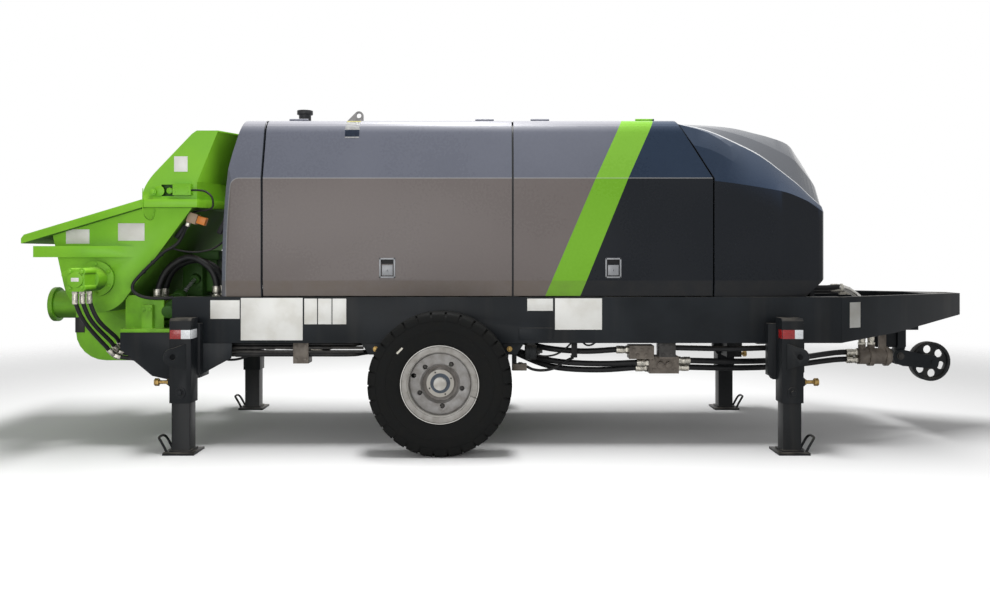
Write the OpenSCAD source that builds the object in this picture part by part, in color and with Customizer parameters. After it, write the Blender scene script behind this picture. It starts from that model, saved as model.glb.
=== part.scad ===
// Towed concrete pump on one axle: hood, hopper, pumping unit, four legs and a drawbar.
// Millimetres. +X towards the drawbar, +Z up, origin on the ground at mid length.
// The right side (-Y) is drawn and the left side is its mirror image.

/* [Frame] */
// Height of the frame beams' underside above the ground
beam_z = 654; // [640:1:670]
// Height of a frame beam
beam_h = 288; // [278:1:298]
// Half the width over the beams
half_w = 700; // [690:1:715]
// Rear end of the beams
beam_rear_x = -2078; // [-2090:1:-2066]
// Where the beams end and the drawbar starts to narrow
beam_front_x = 2100; // [2080:1:2140]
// Tip of the drawbar
tip_x = 3140; // [3100:1:3180]
// Half the width of the drawbar's tip
tip_half_w = 95; // [90:1:110]

/* [Wheels] */
// Position of the axle along the machine
axle_x = -391; // [-420:1:-360]
// Radius of a road tyre
tyre_r = 432; // [420:1:440]
// Width of a road tyre
tyre_w = 235; // [220:1:245]
// Half the width over the tyres
track_half = 1000; // [995:1:1015]
// Radius of a rim flange
rim_r = 235; // [228:1:240]
// Radius of an axle spindle
spindle_r = 35; // [30:1:38]
// Number of lugs around a tyre's shoulder
lug_count = 30; // [26:1:31]

/* [Legs] */
// Position of the rear legs
leg_rear_x = -1964; // [-1980:1:-1950]
// Position of the front legs
leg_front_x = 1737; // [1700:1:1780]
// Distance from the centre plane to a leg
leg_y = 820; // [805:1:840]
// Outside width of a leg's sleeve
sleeve_w = 130; // [126:1:140]
// Bottom of a leg's sleeve
sleeve_z = 308; // [298:1:320]
// Top of a leg's sleeve
sleeve_top = 820; // [805:1:840]
// How far a leg draws up
leg_travel = 240; // [200:1:245]
// Radius of a lashing hole
lash_r = 18; // [16:0.5:20]

/* [Hood] */
// Height of the roof
roof_z = 2070; // [2050:1:2090]
// Half the width of the flat roof
roof_half = 480; // [470:1:490]
// Height of the crease along the hood's sides
crease_z = 1684; // [1670:1:1700]
// Rear end of the hood at its foot
hood_rear_x = -1776; // [-1785:1:-1765]
// Joint between the rear section and the rear doors
rear_joint_x = -1518; // [-1540:1:-1500]
// Joint between the rear and the front doors
mid_joint_x = 49; // [20:1:80]
// Joint between the front doors and the nose, below the crease
nose_joint_x = 1303; // [1290:1:1315]
// Thickness of a door
door_t = 22; // [20:1:24]
// Gap around a door
door_gap = 10; // [9:0.5:12]
// Width of a door latch
latch_w = 100; // [80:1:120]

/* [Hopper] */
// Position of the agitator shaft along the machine
agitator_x = -2569; // [-2580:1:-2560]
// Height of the agitator shaft
agitator_z = 1055; // [1045:1:1065]
// Outside radius of the trough
trough_r = 215; // [208:1:222]
// Half the width over the hopper's side walls
hopper_half = 640; // [630:1:648]
// Height of the hopper's rim at the front
rim_z = 1552; // [1545:1:1560]
// Radius of the outlet's bore
outlet_r = 75; // [62:0.5:80]

/* [Guide wheel] */
// Radius of the guide wheel
guide_r = 136; // [128:1:140]
// Position of the guide arm's pivot
guide_pivot_x = 2742; // [2735:1:2750]

/* [Hidden] */
$fn = 64;
weld = 2;
running_gap = 0.1;
beam_top = beam_z + beam_h;
web_t = 10;
flange_t = 14;
flange_w = 90;
axle_z = tyre_r + 0.5;
spring_y = 600;
wheel_y = track_half - tyre_w / 2;

// Hood section, one side, from the foot to the roof edge, as [distance from centre, height]
band_z = beam_top + 100;
band_in = 12;
hood_rise = roof_z - crease_z;
lean_y = half_w - 80;
lean_z = crease_z + 0.69 * hood_rise;
shoulder_steps = 8;
hood_foot = beam_top;
hood_side = concat(
    [[half_w - band_in, hood_foot], [half_w, band_z], [half_w, crease_z], [lean_y, lean_z]],
    [for (i = [1:shoulder_steps])
        let (t = i / shoulder_steps, u = 1 - t)
        [u * u * lean_y + 2 * t * u * (lean_y - 22) + t * t * roof_half,
         u * u * lean_z + 2 * t * u * roof_z + t * t * roof_z]]);

// The hood's rear end bows forwards towards the roof, and its upright corners are softened
rear_bow_depth = 120;
rear_bow_steps = 10;
corner_len = 34;
corner_in = 24;
hinge_y = roof_half - 30;
knuckle_r = 10;
hinge_z = roof_z + knuckle_r;
hinge_pin_r = 5;
knuckle_len = 60;
roof_strip_y = hinge_y - door_gap / 2;
nose_roof_x = nose_joint_x - 213;

// The nose's lines at its stations: [distance in from the side, rise above the crease]
drawn_rise = 386;
nose_reach = [-263, -3, 197, 337, 461, 567, 624, 697, 727, 767, 797];
crease_line = [[0, 0], [0, -16], [3, -42], [10, -64], [17, -88], [31, -128], [42, -156], [60, -204],
    [125, -206], [250, -209], [420, -212]];
ridge_line = [[220, 386], [217, 329], [200, 240], [180, 163], [160, 65], [135, -27], [110, -92], [94, -164],
    [150, -180], [265, -190], [430, -198]];
crown_line = [[350, 386], [350, 378], [350, 359], [350, 327], [350, 294], [350, 251], [355, 181], [360, 68],
    [370, 0], [410, -110], [520, -180]];
centre_rise = [388, 382, 366, 336, 306, 266, 206, 106, 40, -60, -160];
side_bulge = [130, 98, 28, 14, 6, 4, 2, 0, 0, 0, 0];
nose_steps = 3;
groove_in = 14;
groove_down = 8;
nose_front_x = nose_joint_x + 797;
nose_t = 24;
chamfer_x = nose_joint_x + 590;
chamfer_rise = 0.9;
grille_half = 225;
grille_z = beam_top + 230;
grille_h = 230;
grille_t = 14;
grille_bars = 9;

// Hopper outline in side view
wall_t = 12;
rim_bend_x = agitator_x + 304;
rim_tip_x = agitator_x - 451;
rim_tip_z = rim_z - 226;
rim_front_x = -1935;
rim_h = 50;
rim_out = 60;
tip_soft = 18;
rim_rear_x = agitator_x - 291;
function rim_at(x) =
    x > rim_bend_x ? rim_z
        : rim_z - (rim_bend_x - x) / (rim_bend_x - rim_tip_x) * (rim_z - rim_tip_z);
function tangent_at(p, side) =
    let (dx = p[0] - agitator_x, dz = p[1] - agitator_z)
    atan2(dz, dx) + side * acos(trough_r / norm([dx, dz]));
rear_tangent = tangent_at([rim_rear_x, rim_at(rim_rear_x)], 1);
front_tangent = 360 + tangent_at([rim_front_x, rim_z], -1);
trough_steps = 20;
function hopper_outline(inset) =
    let (lift = inset > 0 ? weld : 0, rear_x = rim_rear_x + inset / sin(72))
    concat([[rim_front_x - inset / sin(53), rim_z + lift]],
    [for (i = [trough_steps:-1:0])
        let (a = rear_tangent + (front_tangent - rear_tangent) * i / trough_steps)
        [agitator_x + (trough_r - inset) * cos(a), agitator_z + (trough_r - inset) * sin(a)]],
    [[rear_x, rim_at(rear_x) + lift]],
    [[rim_bend_x, rim_z + lift]]);
ledge_z = 1190;
ledge_h = 70;
ledge_rear_x = agitator_x - 375;
ledge_taper_x = agitator_x + 111;
ledge_front_x = agitator_x + 235;
shaft_r = 30;
bearing_len = 150;
motor_len = 150;
box_half = 330;
box_rear_x = agitator_x - 276;
box_front_x = -2100;
box_z = 505;
plate_top = beam_z + 66;
plate_rear_x = -2402;
base_t = 22;
outlet_z = 861;
outlet_x = -tip_x;
grate_x = agitator_x + 354;
grate_z = rim_z + 48;
grate_half = 590;
grate_len = 650;
grate_drop = 52;
grate_slope = 17.2;
grate_pin_r = 12;
shield_t = 8;
hood_clear = 40;
wing_in = 190;
shield_top_x = rim_front_x - 8;
shield_top_z = rim_z + 437;
shield_front_x = rim_front_x + 128;
shield_foot_x = rim_front_x - 6;
fold_z = rim_z + 112;
shield_lean = atan((shield_front_x - shield_foot_x) / (shield_top_z - fold_z));
shield_share = min(1, (shield_top_z - hood_foot) / (roof_z - hood_foot));
hood_at_shield = hood_rear_x + rear_bow_depth * pow(shield_share, 3);
wing_level_x = hood_at_shield - hood_clear - shield_front_x;
wing_x = wing_level_x * cos(shield_lean);
pump_z = 700;
pump_y = 160;
tank_x = -1500;

guide_pivot_z = 505;
guide_z = 463;
guide_x = guide_pivot_x + 228;
guide_w = 80;

// A flat shape in side view, between two positions across the machine
module across(y_low, y_high) {
    translate([0, y_high, 0]) rotate([90, 0, 0]) linear_extrude(y_high - y_low) children();
}

// A flat shape in rear view, between two positions along the machine
module along(x_low, x_high) {
    translate([x_low, 0, 0]) rotate([90, 0, 90]) linear_extrude(x_high - x_low) children();
}

module block(x, y, z) {
    translate([x[0], y[0], z[0]]) cube([x[1] - x[0], y[1] - y[0], z[1] - z[0]]);
}

module rod_x(x, y, z, r) {
    translate([x[0], y, z]) rotate([0, 90, 0]) cylinder(h = x[1] - x[0], r = r);
}

module rod_y(x, y, z, r) {
    translate([x, y[1], z]) rotate([90, 0, 0]) cylinder(h = y[1] - y[0], r = r);
}

module left() {
    mirror([0, 1, 0]) children();
}

module both_sides() {
    children();
    left() children();
}

// The path of a bent tube: a smooth curve through hand-placed points
function curve(a, b, c, d, t) = 0.5 * (2 * b + (c - a) * t + (2 * a - 5 * b + 4 * c - d) * t * t
    + (3 * b - a - 3 * c + d) * t * t * t);
function route(p, steps) =
    let (n = len(p), q = concat([2 * p[0] - p[1]], p, [2 * p[n - 1] - p[n - 2]]))
    concat([for (i = [0:n - 2]) for (k = [0:steps - 1]) curve(q[i], q[i + 1], q[i + 2], q[i + 3],
        k / steps)],
        [p[n - 1]]);
function unit(v) = v / norm(v);

module hose(points, r, aim = [0.1, 0.98, 0.15], steps = 3, sides = 8) {
    path = route(points, steps);
    last = len(path) - 1;
    heading = [for (i = [0:last])
        i == 0 ? unit(points[1] - points[0])
        : i == last ? unit(points[len(points) - 1] - points[len(points) - 2])
        : unit(path[i + 1] - path[i - 1])];
    rings = [for (i = [0:last])
        let (u = unit(cross(heading[i], aim)), v = cross(heading[i], u))
        for (k = [0:sides - 1]) path[i] + r * (cos(360 * k / sides) * u + sin(360 * k / sides) * v)];
    walls = [for (i = [0:last - 1]) for (k = [0:sides - 1])
        let (a = i * sides + k, b = i * sides + (k + 1) % sides)
        each [[a, b + sides, b], [a, a + sides, b + sides]]];
    start = [for (k = [0:sides - 1]) k];
    end = [for (k = [sides - 1:-1:0]) last * sides + k];
    polyhedron(rings, concat(walls, [start], [end]));
}

// Frame

pad_x = [87, 299];
pad_z = [beam_z + 20, beam_z + 95];
pad_t = 5;

module beam_side() {
    color("#26292c") {
        along(beam_rear_x, beam_front_x)
            polygon([[-half_w, beam_z], [-half_w + flange_w, beam_z],
                [-half_w + flange_w, beam_z + flange_t],
                [-half_w + web_t, beam_z + flange_t], [-half_w + web_t, beam_top - flange_t],
                [-half_w + flange_w, beam_top - flange_t], [-half_w + flange_w, beam_top],
                [-half_w, beam_top]]);
        block(pad_x, [-half_w - pad_t, -half_w + weld], pad_z);
    }
}

module side_beam_right() {
    beam_side();
}

module side_beam_left() {
    left() beam_side();
}

module rear_plates() {
    color("#26292c")
    both_sides() across(-half_w, -half_w + wall_t)
        polygon([[plate_rear_x, plate_top], [plate_rear_x, plate_top - 105],
            [plate_rear_x + 200, plate_top - 271],
            [plate_rear_x + 312, plate_top - 296], [plate_rear_x + 499, plate_top - 265],
            [plate_rear_x + 693, plate_top - 159], [plate_rear_x + 699, beam_z],
            [beam_rear_x, beam_z], [beam_rear_x, plate_top]]);
}

member_w = 80;
member_z = [beam_top - flange_t - member_w, beam_top - flange_t];
member_x = [beam_rear_x + 228, tank_x + 100, tank_x + 650, axle_x + 111, 420, 1100, leg_front_x,
    beam_front_x - 90];

member_top = member_z[1];
bulkhead_x = [beam_front_x - 105, beam_front_x - 75];
bulkhead_y = [-420, -180];
bulkhead_h = 82;

module cross_members() {
    color("#26292c") {
        for (x = member_x)
            block([x - member_w / 2, x + member_w / 2], [web_t - half_w, half_w - web_t], member_z);
        block(bulkhead_x, bulkhead_y, [member_top - weld, member_top + bulkhead_h]);
    }
}

drawbar_t = 12;
drawbar_lip = 42;
tip_plate_x = tip_x - 260;
tow_x = tip_x - 80;
tow_clear_r = 40;
drawbar_knee_x = beam_front_x + 460;
function drawbar_bottom(x) = beam_z + (x < drawbar_knee_x ? 44 * (x - beam_front_x) / 460
    : 44 + 96 * (x - drawbar_knee_x) / (tip_x - drawbar_knee_x));

module drawbar_plan(inset) {
    polygon([[beam_front_x, -half_w + inset], [tip_x, -tip_half_w + inset],
        [tip_x, tip_half_w - inset], [beam_front_x, half_w - inset]]);
}

// Side plates with a turned-in top edge, a bottom plate, and a cover and end plate at the tip
module drawbar() {
    color("#26292c")
    difference() {
        union() {
            translate([0, 0, beam_z]) linear_extrude(beam_h)
                difference() {
                    drawbar_plan(0);
                    drawbar_plan(drawbar_t);
                }
            translate([0, 0, beam_top - drawbar_t]) linear_extrude(drawbar_t)
                difference() {
                    drawbar_plan(0);
                    drawbar_plan(drawbar_lip);
                }
            intersection() {
                translate([0, 0, beam_z]) linear_extrude(beam_h) drawbar_plan(0);
                union() {
                    across(-half_w, half_w)
                        polygon([[drawbar_knee_x, beam_z], [tip_x, beam_z],
                            [tip_x, drawbar_bottom(tip_x) + drawbar_t],
                            [drawbar_knee_x, drawbar_bottom(drawbar_knee_x) + drawbar_t]]);
                    block([tip_plate_x, tip_x], [-half_w, half_w], [beam_top - drawbar_t, beam_top]);
                    block([tip_x - drawbar_t, tip_x], [-half_w, half_w], [beam_z, beam_top]);
                }
            }
        }
        across(-half_w - 1, half_w + 1)
            polygon([[beam_front_x - 1, beam_z - 1], [beam_front_x, beam_z],
                [drawbar_knee_x, drawbar_bottom(drawbar_knee_x)], [tip_x + 1, drawbar_bottom(tip_x + 1)],
                [tip_x + 1, beam_z - 1]]);
        translate([tow_x, 0, beam_z]) cylinder(h = beam_h + 1, r = tow_clear_r);
    }
}

tow_r = 26;

tow_h = 70;

module tow_eye() {
    color("#26292c")
    difference() {
        block([tip_x - 190, tip_x - drawbar_t], [-tip_half_w + drawbar_t, tip_half_w - drawbar_t],
            [beam_top - drawbar_t - tow_h, beam_top - drawbar_t]);
        translate([tow_x, 0, beam_top - drawbar_t - tow_h - 1]) cylinder(h = tow_h + 2, r = tow_r);
    }
}

// Legs

tube_w = sleeve_w - 20;
sleeve_bore = tube_w + 0.6;
cap_t = 12;
cap_bevel = 16;
tube_top = sleeve_top - cap_t - leg_travel - 8;
foot_t = 14;
foot_len = 190;
foot_w = 210;
collar_h = 10;
collar_out = 12;
lash_z = beam_z - 64;
lash_turn = 25;
lash_root = 12;
lash_reach = 55;
lash_head = 53;
lash_t = 14;
bracket_z = sleeve_z + 128;
bracket_drop = 40;
bracket_corner = 30;
saddle_half = 55;
saddle_y = -500;
clamp_z = sleeve_z + 120;
pin_boss_z = sleeve_z + 63;

// Drawn for the front end of the machine, and turned round for the rear end
module facing(end) {
    if (end > 0)
        children();
    else
        mirror([1, 0, 0]) children();
}

// A rounded lashing lug, welded to the sleeve's face and turned outwards
module lashing_lug() {
    translate([-lash_root, -leg_y - sleeve_w / 2, lash_z]) rotate([0, 0, -lash_turn])
        difference() {
            union() {
                rod_y(lash_reach, [-lash_t, 0], 0, lash_head);
                across(-lash_t, 0)
                    polygon([[-20, -78], [lash_reach, -lash_head], [lash_reach, lash_head], [-20, 78]]);
            }
            rod_y(lash_reach, [-lash_t - 1, 1], 0, lash_r);
        }
}

// The screw that clamps the leg in its sleeve: boss, lock nut, shank and head
module clamp_screw() {
    face = sleeve_w / 2;
    rod_x([face - weld, face + 24], -leg_y, clamp_z, 26);
    rod_x([face + 20, face + 37], -leg_y, clamp_z, 17, $fn = 6);
    rod_x([face + 20, face + 90], -leg_y, clamp_z, 10.5);
    rod_x([face + 84, face + 110], -leg_y, clamp_z, 23, $fn = 6);
}

// A sleeve with its bracket to the beam and its saddle under it
module sleeve(x, end, reach, saddle_from) {
    near = -leg_y - sleeve_w / 2;
    far = -leg_y + sleeve_w / 2;
    corner = bracket_corner;
    color("#26292c")
    translate([x, 0, 0]) facing(end)
        difference() {
            union() {
                along(-sleeve_w / 2, sleeve_w / 2)
                    polygon([[near, sleeve_z], [far, sleeve_z], [far, sleeve_top],
                        [near + cap_bevel, sleeve_top],
                        [near, sleeve_top - cap_bevel]]);
                across(far - weld, -half_w)
                    polygon([[corner - reach, bracket_z], [reach - corner, bracket_z],
                        [reach, bracket_z + 1.5 * corner],
                        [reach, sleeve_top - bracket_drop], [-reach, sleeve_top - bracket_drop],
                        [-reach, bracket_z + 1.5 * corner]]);
                block([-saddle_half, saddle_half], [saddle_from, saddle_y], [bracket_z, beam_z]);
                lashing_lug();
                clamp_screw();
                rod_y(0, [near - 8, near + weld], pin_boss_z, 34);
            }
            block([-sleeve_bore / 2, sleeve_bore / 2], [-leg_y - sleeve_bore / 2, -leg_y + sleeve_bore / 2],
                [sleeve_z - 1, sleeve_top - cap_t]);
            rod_y(0, [near - 9, near - weld], pin_boss_z, 20);
        }
}

module rear_sleeve() {
    color("#26292c")
    difference() {
        union() {
            sleeve(leg_rear_x, -1, 80, -half_w + wall_t + 1);
        }
        block([leg_rear_x - 90, leg_rear_x + 90], [-half_w, -half_w + wall_t], [0, beam_z]);
    }
}

// A square tube on a foot plate, with a collar at its root and a bent carrying handle
module leg(x, end) {
    grip_x = foot_len / 2 - 12;
    collar = tube_w / 2 + collar_out;
    color("#2b2e31")
    translate([x, -leg_y, 0]) facing(end) {
        block([-tube_w / 2, tube_w / 2], [-tube_w / 2, tube_w / 2], [foot_t - weld, tube_top]);
        block([-collar, collar], [-collar, collar], [foot_t - weld, foot_t + collar_h]);
        block([-foot_len / 2, foot_len / 2], [-foot_w / 2, foot_w / 2], [0, foot_t]);
        hose([[grip_x, -55, foot_t - 6], [grip_x + 17, -55, foot_t + 28], [grip_x + 39, -54, foot_t + 66],
            [grip_x + 53, -40, foot_t + 82], [grip_x + 55, 0, foot_t + 85], [grip_x + 53, 40, foot_t + 82],
            [grip_x + 39, 54, foot_t + 66], [grip_x + 17, 55, foot_t + 28], [grip_x, 55, foot_t - 6]],
            8, [0.9, 0.1, -0.42], 3);
    }
}

module leg_sleeve_rear_right() {
    rear_sleeve();
}

module leg_sleeve_rear_left() {
    left() rear_sleeve();
}

module leg_sleeve_front_right() {
    sleeve(leg_front_x, 1, 112, -half_w - 1);
}

module leg_sleeve_front_left() {
    left() leg_sleeve_front_right();
}

module leg_rear_right() {
    leg(leg_rear_x, -1);
}

module leg_rear_left() {
    left() leg_rear_right();
}

module leg_front_right() {
    leg(leg_front_x, 1);
}

module leg_front_left() {
    left() leg_front_right();
}

// Axle, springs and wheels

beam_half = 55;
hub_in = 70;
hub_out = 40;

module axle() {
    color("#2b2e31") {
        block([axle_x - beam_half, axle_x + beam_half], [-760, 760],
            [axle_z - beam_half, axle_z + beam_half]);
        both_sides() {
            rod_y(axle_x, [-wheel_y + hub_in + 8, -760], axle_z, 62);
            rod_y(axle_x, [-wheel_y - hub_out + 4, -wheel_y + hub_in + 8], axle_z, spindle_r);
        }
    }
}

leaf_t = 12;
leaf_count = 6;
spring_half = 420;
eye_r = 26;
pin_r = 14;
seat_z = axle_z + beam_half;
leaf_z = seat_z + 4;
camber = 50;
leaf_step = spring_half / (leaf_count + 1);
eye_z = leaf_z + (leaf_count - 0.5) * leaf_t + camber;
function leaf_edge(x, z) = [axle_x + x, z + camber * x * x / spring_half / spring_half];

// One leaf, whose bends lie above those of the leaf below
module leaf(reach, z) {
    upper = [for (i = [-reach:reach]) leaf_edge(i * leaf_step, z + leaf_t)];
    lower = [for (i = [reach:-1:-reach]) leaf_edge(i * leaf_step, z)];
    across(-spring_y - 38, -spring_y + 38) polygon(concat(upper, lower));
}

module leaf_springs() {
    color("#1d1f21")
    both_sides()
        difference() {
            union() {
                block([axle_x - 60, axle_x + 60], [-spring_y - 38, -spring_y + 38],
                    [seat_z, leaf_z + leaf_t / 2]);
                for (i = [0:leaf_count - 1])
                    leaf(i + 2, leaf_z + i * leaf_t);
                for (end = [-1, 1])
                    rod_y(axle_x + end * spring_half, [-spring_y - 38, -spring_y + 38], eye_z, eye_r);
            }
            for (end = [-1, 1])
                rod_y(axle_x + end * spring_half, [-spring_y - 50, -spring_y + 50],
                    eye_z, pin_r + running_gap);
        }
}

module spring_hangers() {
    color("#26292c")
    both_sides()
        for (end = [-1, 1]) {
            x = axle_x + end * spring_half;
            rod_y(x, [-spring_y - 70, -spring_y + 70], eye_z, pin_r);
            for (y = [-spring_y - 56, -spring_y + 42])
                across(y, y + 14)
                    polygon([[x - 45, eye_z - 30], [x + 45, eye_z - 30], [x + 95, beam_z],
                        [x - 95, beam_z]]);
        }
}

lug_pitch = 360 / lug_count;
lug_h = 51;
lug_deep = 14;
lug_gap = 14;
lug_slope = 3;
bead_in = 33;
bead_drop = 21;
function arc(length) = length / tyre_r * 180 / PI;

// A tyre section from bead to bead, through a lug or through the groove between two lugs
function tyre_section(raised) =
    let (w = tyre_w / 2,
        half = [[(rim_r - bead_drop + running_gap) / cos(lug_pitch / 2), w - bead_in],
            [(rim_r + 1) / cos(lug_pitch / 2), w - bead_in], [tyre_r - 2 * lug_h, w],
            [tyre_r - lug_h, w - 3],
            raised ? [tyre_r - 18, w - 10] : [tyre_r - 26, w - 22],
            raised ? [tyre_r, w - 32] : [tyre_r - lug_deep, w - 42]])
    concat(half, [for (i = [len(half) - 1:-1:0]) [half[i][0], -half[i][1]]]);

// Four sections to each lug: its start and end, then the groove's start and end
module tyre() {
    lug_end = lug_pitch - arc(lug_gap);
    turns = [0, lug_end, lug_end + arc(lug_slope), lug_pitch - arc(lug_slope)];
    points = [for (i = [0:lug_count - 1]) for (k = [0:3])
        let (a = lug_pitch * i + turns[k])
        for (p = tyre_section(k < 2)) [p[0] * cos(a), p[0] * sin(a), p[1]]];
    count = len(tyre_section(true));
    rings = 4 * lug_count;
    walls = [for (j = [0:rings - 1]) for (i = [0:count - 1])
        let (a = j * count + i, b = j * count + (i + 1) % count,
            c = (j + 1) % rings * count + i, d = (j + 1) % rings * count + (i + 1) % count)
        each [[a, c, d], [a, d, b]]];
    color("#1c1c1c")
    translate([axle_x, -wheel_y, axle_z]) rotate([90, 0, 0]) polyhedron(points, walls);
}

stud_hole_r = 15;
stud_hole_pcr = 134;
stud_hole_turn = 60;
valve_hole_pcr = 166;
valve_hole_turn = 163;
ring_split = 6;
ring_split_turn = -20;

module rim() {
    w = tyre_w / 2 - bead_in;
    flange = 13;
    color("#b0aca6")
    translate([axle_x, -wheel_y, axle_z]) rotate([90, 0, 0])
        difference() {
            union() {
                rotate_extrude($fn = 96)
                    polygon([[spindle_r + running_gap, -hub_in], [75, -hub_in], [75, -12], [110, -12],
                        [128, 22],
                        [179, 30], [188, 18], [rim_r - 35, 18], [rim_r - 35, -w - flange],
                        [rim_r, -w - flange],
                        [rim_r, -w], [rim_r - bead_drop, -w], [rim_r - bead_drop, w], [rim_r, w],
                        [rim_r, w + flange],
                        [rim_r - 43, w + flange], [rim_r - 47, 36], [188, 36], [179, 46], [120, 40],
                        [106, 6],
                        [83, 6], [83, 28], [60, 28], [spindle_r + 6, hub_out],
                        [spindle_r + running_gap, hub_out]]);
                translate([0, 0, hub_out - weld]) cylinder(h = 24 + weld, r = spindle_r + 3);
            }
            for (i = [0:4])
                rotate([0, 0, stud_hole_turn + 72 * i]) translate([stud_hole_pcr, 0, 0])
                    cylinder(h = 60, r = stud_hole_r);
            rotate([0, 0, valve_hole_turn]) translate([valve_hole_pcr, 0, 0])
                cylinder(h = 60, r = stud_hole_r);
            rotate([0, 0, ring_split_turn])
                block([rim_r - 60, rim_r + 1], [-ring_split / 2, ring_split / 2], [w + 2, w + flange + 1]);
        }
}

module tyre_right() {
    tyre();
}

module tyre_left() {
    left() tyre();
}

module rim_right() {
    rim();
}

module rim_left() {
    left() rim();
}

// Hood

// The hood's section, moved inwards by an amount
function inner(p, d) =
    [for (i = [0:len(p) - 1])
        let (a = p[max(i - 1, 0)], b = p[min(i + 1, len(p) - 1)], h = unit(b - a))
        [p[i][0] - d * h[1], p[i][1] - (i == 0 ? 0 : d * -h[0])]];
module hood_section(inset) {
    side = inset == 0 ? hood_side : inner(hood_side, inset);
    polygon(concat([for (p = side) [-p[0], p[1]]], [for (i = [len(side) - 1:-1:0]) side[i]]));
}

// Side view of the hood up to the leaning joint with the nose
module up_to_joint(shift) {
    across(-half_w - 5, half_w + 5)
        polygon([[hood_rear_x - 50, 0], [nose_joint_x + shift, 0], [nose_joint_x + shift, crease_z],
            [nose_roof_x + shift, roof_z], [nose_roof_x + shift - 55, roof_z + 100],
            [hood_rear_x - 50, roof_z + 100]]);
}

// The rear end's outline in side view, moved forwards by a shift
module rear_bow(shift) {
    foot = hood_foot - 1;
    rise = roof_z + 5 - foot;
    across(-half_w - 5, half_w + 5)
        polygon(concat([for (i = [0:rear_bow_steps])
                let (t = i / rear_bow_steps)
                [hood_rear_x + shift + rear_bow_depth * t * t * t, foot + rise * t]],
            [[rear_joint_x + 1, roof_z + 5], [rear_joint_x + 1, foot]]));
}

// The wedge that softens an upright rear corner
module rear_corner() {
    share = (crease_z - hood_foot) / (roof_z - hood_foot);
    lean = atan(rear_bow_depth * share * share * share / (crease_z - hood_foot));
    margin = 30;
    translate([hood_rear_x, -half_w, hood_foot - 1]) rotate([0, lean, 0]) linear_extrude(roof_z - hood_foot)
        polygon([[-margin, -margin], [corner_len * (1 + margin / corner_in), -margin],
            [-margin, corner_in * (1 + margin / corner_len)]]);
}

module hood_rear() {
    color("#84848f")
    difference() {
        intersection() {
            along(hood_rear_x, rear_joint_x) hood_section(0);
            rear_bow(0);
        }
        intersection() {
            along(hood_rear_x, rear_joint_x + 2) hood_section(door_t);
            rear_bow(door_t);
        }
        both_sides() rear_corner();
        block([hood_rear_x, rear_joint_x + 2], [-half_w + 60, half_w - 60],
            [hood_foot - 2, hood_foot + 40]);
    }
}

function hinge_places(from, to) = [from + 180, to - 180];
rear_hinges = hinge_places(rear_joint_x, mid_joint_x);
front_hinges = hinge_places(mid_joint_x, nose_roof_x);

module hood_roof() {
    color("#84848f") {
        intersection() {
            block([rear_joint_x, nose_joint_x], [-roof_strip_y, roof_strip_y], [roof_z - door_t, roof_z]);
            up_to_joint(door_gap / 2);
        }
        both_sides()
            for (x = concat(rear_hinges, front_hinges)) {
                rod_x([x - knuckle_len, x + knuckle_len], -hinge_y, hinge_z, hinge_pin_r);
                for (end = [-1, 1]) {
                    from = x + end * (knuckle_len * 0.75 + 0.5);
                    rod_x([from - knuckle_len / 4, from + knuckle_len / 4], -hinge_y, hinge_z, knuckle_r);
                    block([from - knuckle_len / 4, from + knuckle_len / 4], [-hinge_y + 5, -hinge_y + 45],
                        [roof_z - door_t / 2, roof_z + 6]);
                }
            }
    }
}

arch_gap = 7;
arch_depth = 40;

module hood_arch() {
    color("#3a3d42")
    along(mid_joint_x - 35, mid_joint_x + 35)
        difference() {
            union() {
                hood_section(door_t + arch_gap);
                translate([-roof_strip_y + 10, roof_z - 120]) square([2 * roof_strip_y - 20, 120 - door_t]);
            }
            hood_section(door_t + arch_gap + arch_depth);
        }
}

latch_h = 1.25 * latch_w;
latch_z = band_z + 81;
latch_deep = 10;

// A square about the latch's middle, larger or smaller by an edge, between two depths
module latch_plate(x, edge, y, top) {
    block([x - latch_w / 2 - edge, x + latch_w / 2 + edge],
        y, [latch_z - latch_h / 2 - edge, latch_z + top]);
}

module door(from, to, hinges) {
    gap = door_gap / 2;
    outer = hood_side;
    skin = inner(hood_side, door_t);
    edge = roof_half - hinge_y - gap;
    last = len(outer) - 1;
    latch_x = (from + to) / 2;
    color("#84848f") {
        difference() {
            union() {
                intersection() {
                    along(from + gap, to - gap)
                        difference() {
                            polygon(concat([for (p = outer) [-p[0], p[1]]], [[-roof_half + edge, roof_z]],
                                [[-roof_half + edge, roof_z - door_t]],
                                [for (i = [last:-1:0]) [-skin[i][0], skin[i][1]]]));
                            translate([-half_w - 5, hood_foot - 5]) square([half_w, 11]);
                        }
                    up_to_joint(-gap);
                }
                latch_plate(latch_x, 0, [-half_w - 3, -half_w + weld], latch_h / 2);
            }
            latch_plate(latch_x, -8, [-half_w - 4, -half_w + latch_deep], latch_h / 2 - 8);
        }
        latch_plate(latch_x, -14, [-half_w + 3, -half_w + latch_deep + weld], latch_h / 5);
        for (x = hinges)
            difference() {
                union() {
                    rod_x([x - knuckle_len / 2 + 0.5, x + knuckle_len / 2 - 0.5],
                        -hinge_y, hinge_z, knuckle_r);
                    block([x - knuckle_len / 2 + 0.5, x + knuckle_len / 2 - 0.5],
                        [-hinge_y - 30, -hinge_y - 5],
                        [roof_z - door_t / 2, roof_z + 6]);
                }
                rod_x([x - knuckle_len, x + knuckle_len], -hinge_y, hinge_z, hinge_pin_r + running_gap);
            }
    }
}

module door_rear_right() {
    door(rear_joint_x, mid_joint_x, rear_hinges);
}

module door_front_right() {
    door(mid_joint_x, nose_joint_x, front_hinges);
}

module door_rear_left() {
    left() door_rear_right();
}

module door_front_left() {
    left() door_front_right();
}

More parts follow.
